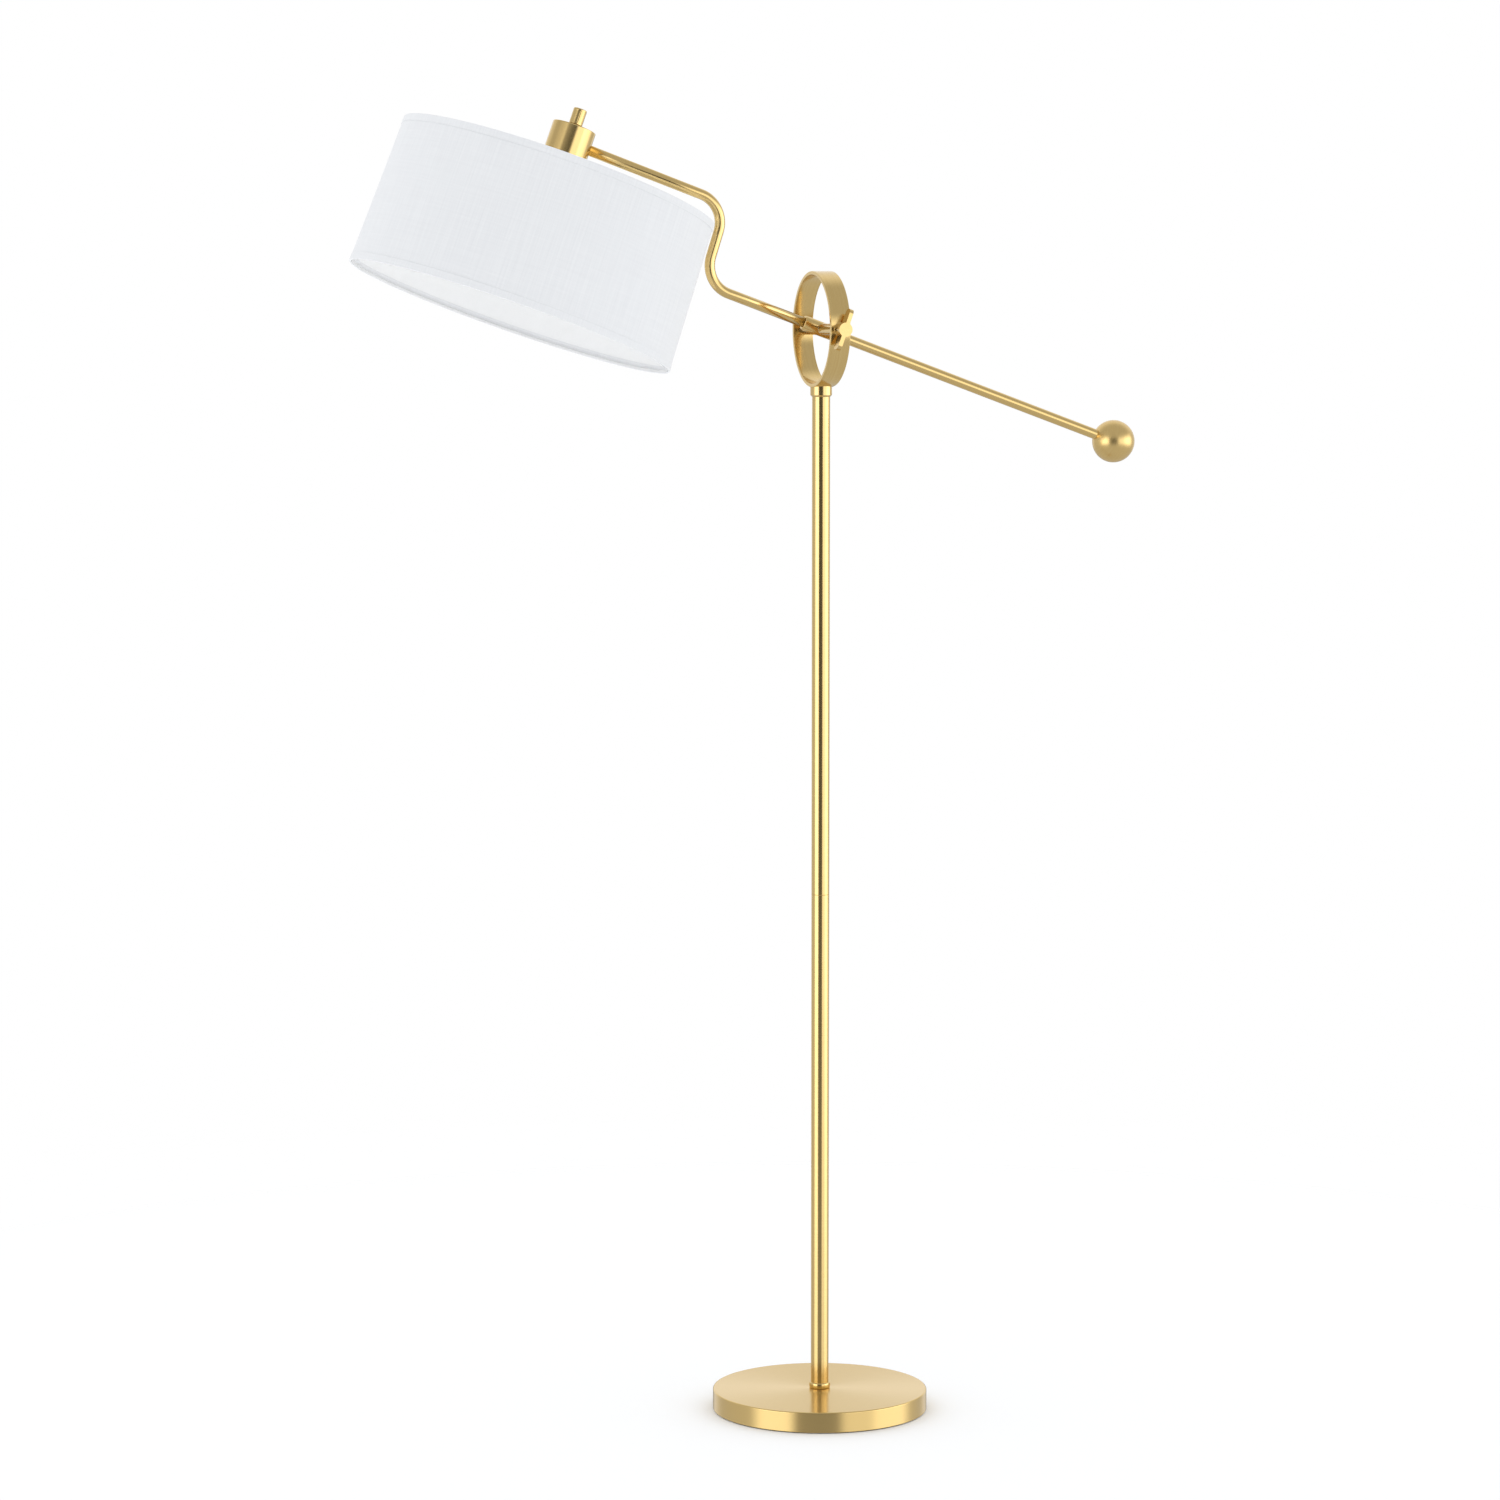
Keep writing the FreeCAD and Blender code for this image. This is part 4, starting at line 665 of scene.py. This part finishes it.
hubLook = {"wall": 1.4 * mm, "topRounding": 1.2 * mm, "hemRounding": 0.4 * mm, "neckRounding": 0.2 * mm,
           "columns": 160, "holeSlack": 0.05 * mm, "holeFrom": 0.5, "holeTo": 1.5}  # in hub radii


def makeHub():
    # a cup's section, open below, carried round the hub's axis; the arm's hole is drilled in its side
    hub = measure("hub_housing", hubPoint, hubAxis)
    wall = hubLook["wall"]
    section = rounded([
        (hub.outer - wall, hub.low), (hub.outer, hub.low, hubLook["hemRounding"]),
        (hub.outer, hub.top, hubLook["topRounding"]), (hub.inner, hub.top, hubLook["neckRounding"]),
        (hub.inner, hub.top - wall), (hub.outer - wall, hub.top - wall)], True)
    skin = keepTurned("hub_housing", section, hubPoint, hubAxis, brushedBrass,
                      columns=hubLook["columns"], closed=True)
    arm = measure("arm_tube", pivot, hubAxis)
    radius = -arm.low
    middle = hubPoint + (arm.top - radius) * hubAxis
    drill(skin, middle + hubLook["holeFrom"] * hub.outer * armAxis,
          middle + hubLook["holeTo"] * hub.outer * armAxis, radius + hubLook["holeSlack"])


knobLook = {"topRounding": 1.4 * mm, "hemRounding": 0.5 * mm, "socket": 4 * mm,
            "flutes": 24, "fluteDepth": 0.09 * mm, "fluteColumns": 8,
            "plainBelow": 1.5 * mm, "plainAbove": 2.2 * mm, "fade": 1 * mm,
            # the side gets points at these distances from its ends, where the fade bends
            "rowsBelow": (1.4 * mm, 2.6 * mm), "rowsAbove": (3.4 * mm, 2.1 * mm),
            "sideShare": 0.98}  # of the radius, past which it is the side


def makeKnob():
    # a solid turned knob with a socket below, its side dipping in shallow flutes
    knob = measure("switch_knob", hubPoint, hubAxis)

    def fluted(radius, height, angle):
        # the radius dips with the cosine of many turns, and the dip fades away before both ends
        fade = (np.clip((height - knob.low - knobLook["plainBelow"]) / knobLook["fade"], 0, 1)
                * np.clip((knob.top - knobLook["plainAbove"] - height) / knobLook["fade"], 0, 1))
        dip = knobLook["fluteDepth"] * (0.5 - 0.5 * np.cos(knobLook["flutes"] * angle)) * fade
        return radius - dip * (radius > knobLook["sideShare"] * knob.outer)

    rows = ([(knob.outer, knob.low + up) for up in knobLook["rowsBelow"]]
            + [(knob.outer, knob.top - down) for down in knobLook["rowsAbove"]])
    side = rounded([(knob.inner, knob.low), (knob.outer, knob.low, knobLook["hemRounding"]), *rows,
                    (knob.outer, knob.top, knobLook["topRounding"]), (0, knob.top)], False)
    roof = knob.low + knobLook["socket"]
    section = np.vstack([[(0, roof), (knob.inner, roof)], side])
    keepTurned("switch_knob", section, hubPoint, hubAxis, brushedBrass,
               columns=knobLook["flutes"] * knobLook["fluteColumns"], shape=fluted)


shadeLook = {
    "columns": 360, "rows": 40,
    "overlap": 12 * mm, "overlapLift": 0.25 * mm, "overlapEdge": 1 * mm,
    "seamAngle": 1.5 * np.pi,  # the far side
    "unevenness": 0.25 * mm,
    "waves": [(3, 40, 0.5), (7, -25, 0.3)],  # turns round the shade, change with height, share
    "tape": 0.5 * mm, "tapeRounding": 0.9 * mm, "tapeEnd": 0.2 * mm,
    "sameLevel": 0.01 * mm,  # points of the frame's shade this near in height lie on one rim
}


def ringRadii(node, level):
    # least and greatest radius of the points of a node of the shade that lie at one height
    away = pointsOf(node) - hubPoint
    height = away @ hubAxis
    atLevel = abs(height - level) < shadeLook["sameLevel"]
    radius = np.linalg.norm(away - height[:, None] * hubAxis, axis=1)[atLevel]
    return radius.min(), radius.max()


def leaning(profile, slope, level):
    # the profile with its radius growing evenly with height above a level
    return profile + (profile[:, 1:] - level) * np.array([slope, 0])


def makeCloth(cloth, slope):
    # the linen: a thin closed wall that leans with the shade, its radius a little uneven with angle and
    # height, with the cloth's two ends overlapping on the far side
    inner, outer = ringRadii("shade_linen", cloth.low)
    fullest = sum(share for turns, climb, share in shadeLook["waves"])

    def lapped(radius, height, angle):
        # the sum of the waves, brought below the shade's radius, and a flat step where the ends overlap
        wave = sum(share * np.sin(turns * angle + climb * height)
                   for turns, climb, share in shadeLook["waves"])
        aside = abs(angle - shadeLook["seamAngle"])
        step = np.clip((shadeLook["overlap"] / outer / 2 - aside) * outer / shadeLook["overlapEdge"], 0, 1)
        return radius + shadeLook["unevenness"] * (wave - fullest) / 2 + shadeLook["overlapLift"] * step

    count = shadeLook["rows"]
    height = np.linspace(cloth.low, cloth.top, count)
    skin = np.concatenate([np.stack([np.full(count, outer), height], 1),
                           np.stack([np.full(count, inner), height[::-1]], 1)])
    linen = keepTurned("shade_linen", leaning(skin, slope, cloth.low), hubPoint, hubAxis, whiteLinen,
                       columns=shadeLook["columns"], closed=True, shape=lapped)


def makeLining(cloth, slope):
    # the stiff lining inside the linen: a plain wall that leans with it
    inner, outer = ringRadii("shade_liner", cloth.low)
    size = SimpleNamespace(low=cloth.low, top=cloth.top, inner=inner, outer=outer)
    keepTurned("shade_liner", leaning(tubeSection(size, 0.0), slope, cloth.low), hubPoint, hubAxis,
               stiffLining, columns=shadeLook["columns"], closed=True)


def makeTapes(slope):
    # tape folded over each edge: a U section with rounded shoulders, turned over for the lower edge
    for node, sign in (("shade_trim_top", 1), ("shade_trim_bottom", -1)):
        size = measure(node, hubPoint, hubAxis)
        edge, hem = (size.top, size.low) if sign == 1 else (size.low, size.top)
        inner, outer = ringRadii(node, edge)
        tape, soft = shadeLook["tape"], shadeLook["tapeRounding"]
        fold = rounded([
            (inner, hem), (inner, edge, soft), (outer, edge, soft), (outer, hem, shadeLook["tapeEnd"]),
            (outer - tape, hem), (outer - tape, edge - sign * tape), (inner + tape, edge - sign * tape),
            (inner + tape, hem)], True)[::-sign]
        keepTurned(node, leaning(fold, slope, edge), hubPoint, hubAxis, whiteLinen,
                   columns=shadeLook["columns"], closed=True)


def makeShade():
    # linen laminated to a stiff lining, with tape over both edges; slope is how much the radius grows
    # with height, and is below zero where the shade narrows
    cloth = measure("shade_linen", hubPoint, hubAxis)
    bottom, top = [ringRadii("shade_linen", level)[1] for level in (cloth.low, cloth.top)]
    slope = (top - bottom) / (cloth.top - cloth.low)
    makeCloth(cloth, slope)
    makeLining(cloth, slope)
    makeTapes(slope)


makeBase()
makeBead()
makePole()
makeRing()
makeCollars()
makeArm()
makeCounterweight()
makeHub()
makeKnob()
makeShade()
print("pieces made")


camera = {
    "place": (-1.9095, -5.3575, 1.3912),
    "heading": 0.327,  # from +Y towards +X
    "pitch": 0.0983,  # below the horizon
    "lens": 110.7,
    "sensor": 36,
    "farthest": 100,
}


def makeCamera():
    # it looks along its heading, tipped down by its pitch
    data = bpy.data.cameras.new("camera")
    data.sensor_width = camera["sensor"]
    data.lens = camera["lens"]
    data.clip_end = camera["farthest"]
    eye = bpy.data.objects.new("camera", data)
    level = math.cos(camera["pitch"])
    look = Vector((math.sin(camera["heading"]) * level, math.cos(camera["heading"]) * level,
                   -math.sin(camera["pitch"])))
    eye.location = camera["place"]
    eye.rotation_euler = look.to_track_quat("-Z", "Y").to_euler()
    bpy.context.scene.collection.objects.link(eye)
    bpy.context.scene.camera = eye


studio = {
    # brightness of the room as metal mirrors it, from straight behind the camera (0) to straight ahead of
    # it (180), in degrees, to the left and to the right
    "left": [(0, 0.08), (24, 0.14), (34, 2.9), (66, 2.9), (80, 0.9), (130, 0.7), (150, 1.25)],
    "right": [(0, 0.08), (18, 0.14), (27, 1.9), (54, 1.9), (64, 2.9), (98, 2.9), (114, 0.9), (135, 0.7),
              (150, 1.25)],
    "above": 0.66, "aboveAhead": 1.15, "below": 0.74,
    "horizon": 0.38,  # low down and straight ahead, which is what the edges of round pieces mirror
    # brightness of the room as it lights cloth and paint
    "fill": 0.97, "fillAbove": 1.12, "fillBelow": 1.3, "fillBehind": 0.62,
    "tint": (0.98, 0.99, 1.0, 1),
    # Where each of these begins and is complete. Heights go from -1, straight down, to 1, and what is
    # behind or ahead goes from 1, straight behind the camera, to -1.
    "aboveFrom": (0.12, 0.5), "aboveAheadFrom": (-0.1, -0.7), "belowFrom": (-0.1, -0.36),
    "horizonAhead": (-0.88, -0.98), "horizonHeight": (0.16, 0.04),
    "fillAboveFrom": (0.3, 0.7), "fillBelowFrom": (0.1, -0.5), "fillBehindFrom": (0.3, 1.0),
}


def makeWorld():
    # A bright room with a dark gap behind the camera, which gives metal its dark middle stripe. Metal
    # mirrors it, other surfaces are lit by a soft even fill, and the background is white.
    world = bpy.data.worlds.new("studio")
    bpy.context.scene.world = world
    world.use_nodes = True
    tree = world.node_tree
    tree.nodes.clear()
    place = addNode(tree, "ShaderNodeTexCoord").outputs["Generated"]
    back = (-math.sin(camera["heading"]), -math.cos(camera["heading"]), 0)
    right = (math.cos(camera["heading"]), -math.sin(camera["heading"]), 0)
    behind, sideways = [addNode(tree, "ShaderNodeVectorMath", {0: place, 1: way}, operation="DOT_PRODUCT")
                        .outputs["Value"] for way in (back, right)]
    turn = compute(tree, "ARCTAN2", sideways, behind)
    share = compute(tree, "ADD", compute(tree, "MULTIPLY", turn, 0.5 / math.pi), 0.5)
    ramp = addNode(tree, "ShaderNodeValToRGB", {0: share})
    stops = ([(0.5 - angle / 360, light) for angle, light in reversed(studio["left"])]
             + [(0.5 + angle / 360, light) for angle, light in studio["right"][1:]])
    elements = ramp.color_ramp.elements
    while len(elements) < len(stops):
        elements.new(0.5)
    for element, (position, light) in zip(elements, stops):
        element.position = position
        element.color = (light, light, light, 1)
    height = addNode(tree, "ShaderNodeSeparateXYZ", {0: place}).outputs[2]

    def rising(source, span):
        return addNode(tree, "ShaderNodeMapRange", {
            "Value": source, "From Min": studio[span][0], "From Max": studio[span][1]},
            interpolation_type="SMOOTHSTEP").outputs[0]

    def towards(factor, first, second):
        return addNode(tree, "ShaderNodeMix", {0: factor, 2: first, 3: second}).outputs[0]

    ahead = compute(tree, "MULTIPLY", rising(behind, "horizonAhead"), rising(height, "horizonHeight"))
    above = towards(rising(behind, "aboveAheadFrom"), studio["above"], studio["aboveAhead"])
    mirrored = towards(rising(height, "aboveFrom"), ramp.outputs[0], above)
    mirrored = towards(rising(height, "belowFrom"), mirrored, studio["below"])
    mirrored = towards(ahead, mirrored, studio["horizon"])
    lit = towards(rising(behind, "fillBehindFrom"), studio["fill"], studio["fillBehind"])
    lit = towards(rising(height, "fillAboveFrom"), lit, studio["fillAbove"])
    lit = towards(rising(height, "fillBelowFrom"), lit, studio["fillBelow"])
    ray = addNode(tree, "ShaderNodeLightPath").outputs
    glossy = addNode(tree, "ShaderNodeBackground", {1: mirrored}).outputs[0]
    soft = addNode(tree, "ShaderNodeBackground", {0: studio["tint"], 1: lit}).outputs[0]
    seen = addNode(tree, "ShaderNodeBackground", {0: (1, 1, 1, 1), 1: 1.0}).outputs[0]
    room = addNode(tree, "ShaderNodeMixShader", {0: ray["Is Glossy Ray"], 1: soft, 2: glossy}).outputs[0]
    mixed = addNode(tree, "ShaderNodeMixShader", {0: ray["Is Camera Ray"], 1: room, 2: seen}).outputs[0]
    addNode(tree, "ShaderNodeOutputWorld", {0: mixed})


floorLook = {
    "radius": 3.0, "columns": 128, "drop": 0.2 * mm,  # a hair below the felt
    "fade": (0.5, 2.2),  # the distances at which it starts to fade and is gone
    "paint": {"Roughness": 0.9, "Specular IOR Level": 0.0, "Base Color": (0.97, 0.97, 0.97, 1)},
}


def makeFloor():
    # a pale round floor that fades into the background
    disc = np.array([(floorLook["radius"], 0.0), (0.0, 0.0)])
    floor = turnedPiece("floor", disc, np.array([0, 0, -floorLook["drop"]]), upward, floorLook["columns"])
    material, tree, shader = newMaterial("paleFloor", floorLook["paint"])
    place = addNode(tree, "ShaderNodeTexCoord").outputs["Object"]
    reach = addNode(tree, "ShaderNodeVectorMath", {0: place}, operation="LENGTH").outputs["Value"]
    fade = addNode(tree, "ShaderNodeMapRange", {
        "Value": reach, "From Min": floorLook["fade"][0], "From Max": floorLook["fade"][1]},
        interpolation_type="SMOOTHSTEP").outputs[0]
    clear = tree.nodes.new("ShaderNodeBsdfTransparent").outputs[0]
    mixed = addNode(tree, "ShaderNodeMixShader", {0: fade, 1: shader.outputs[0], 2: clear}).outputs[0]
    tree.links.new(mixed, tree.nodes["Material Output"].inputs[0])
    floor.data.materials.append(material)
    floor.visible_glossy = False


makeCamera()
makeWorld()
makeFloor()
bpy.context.scene.view_settings.view_transform = "Standard"
print("floor, light and camera made")
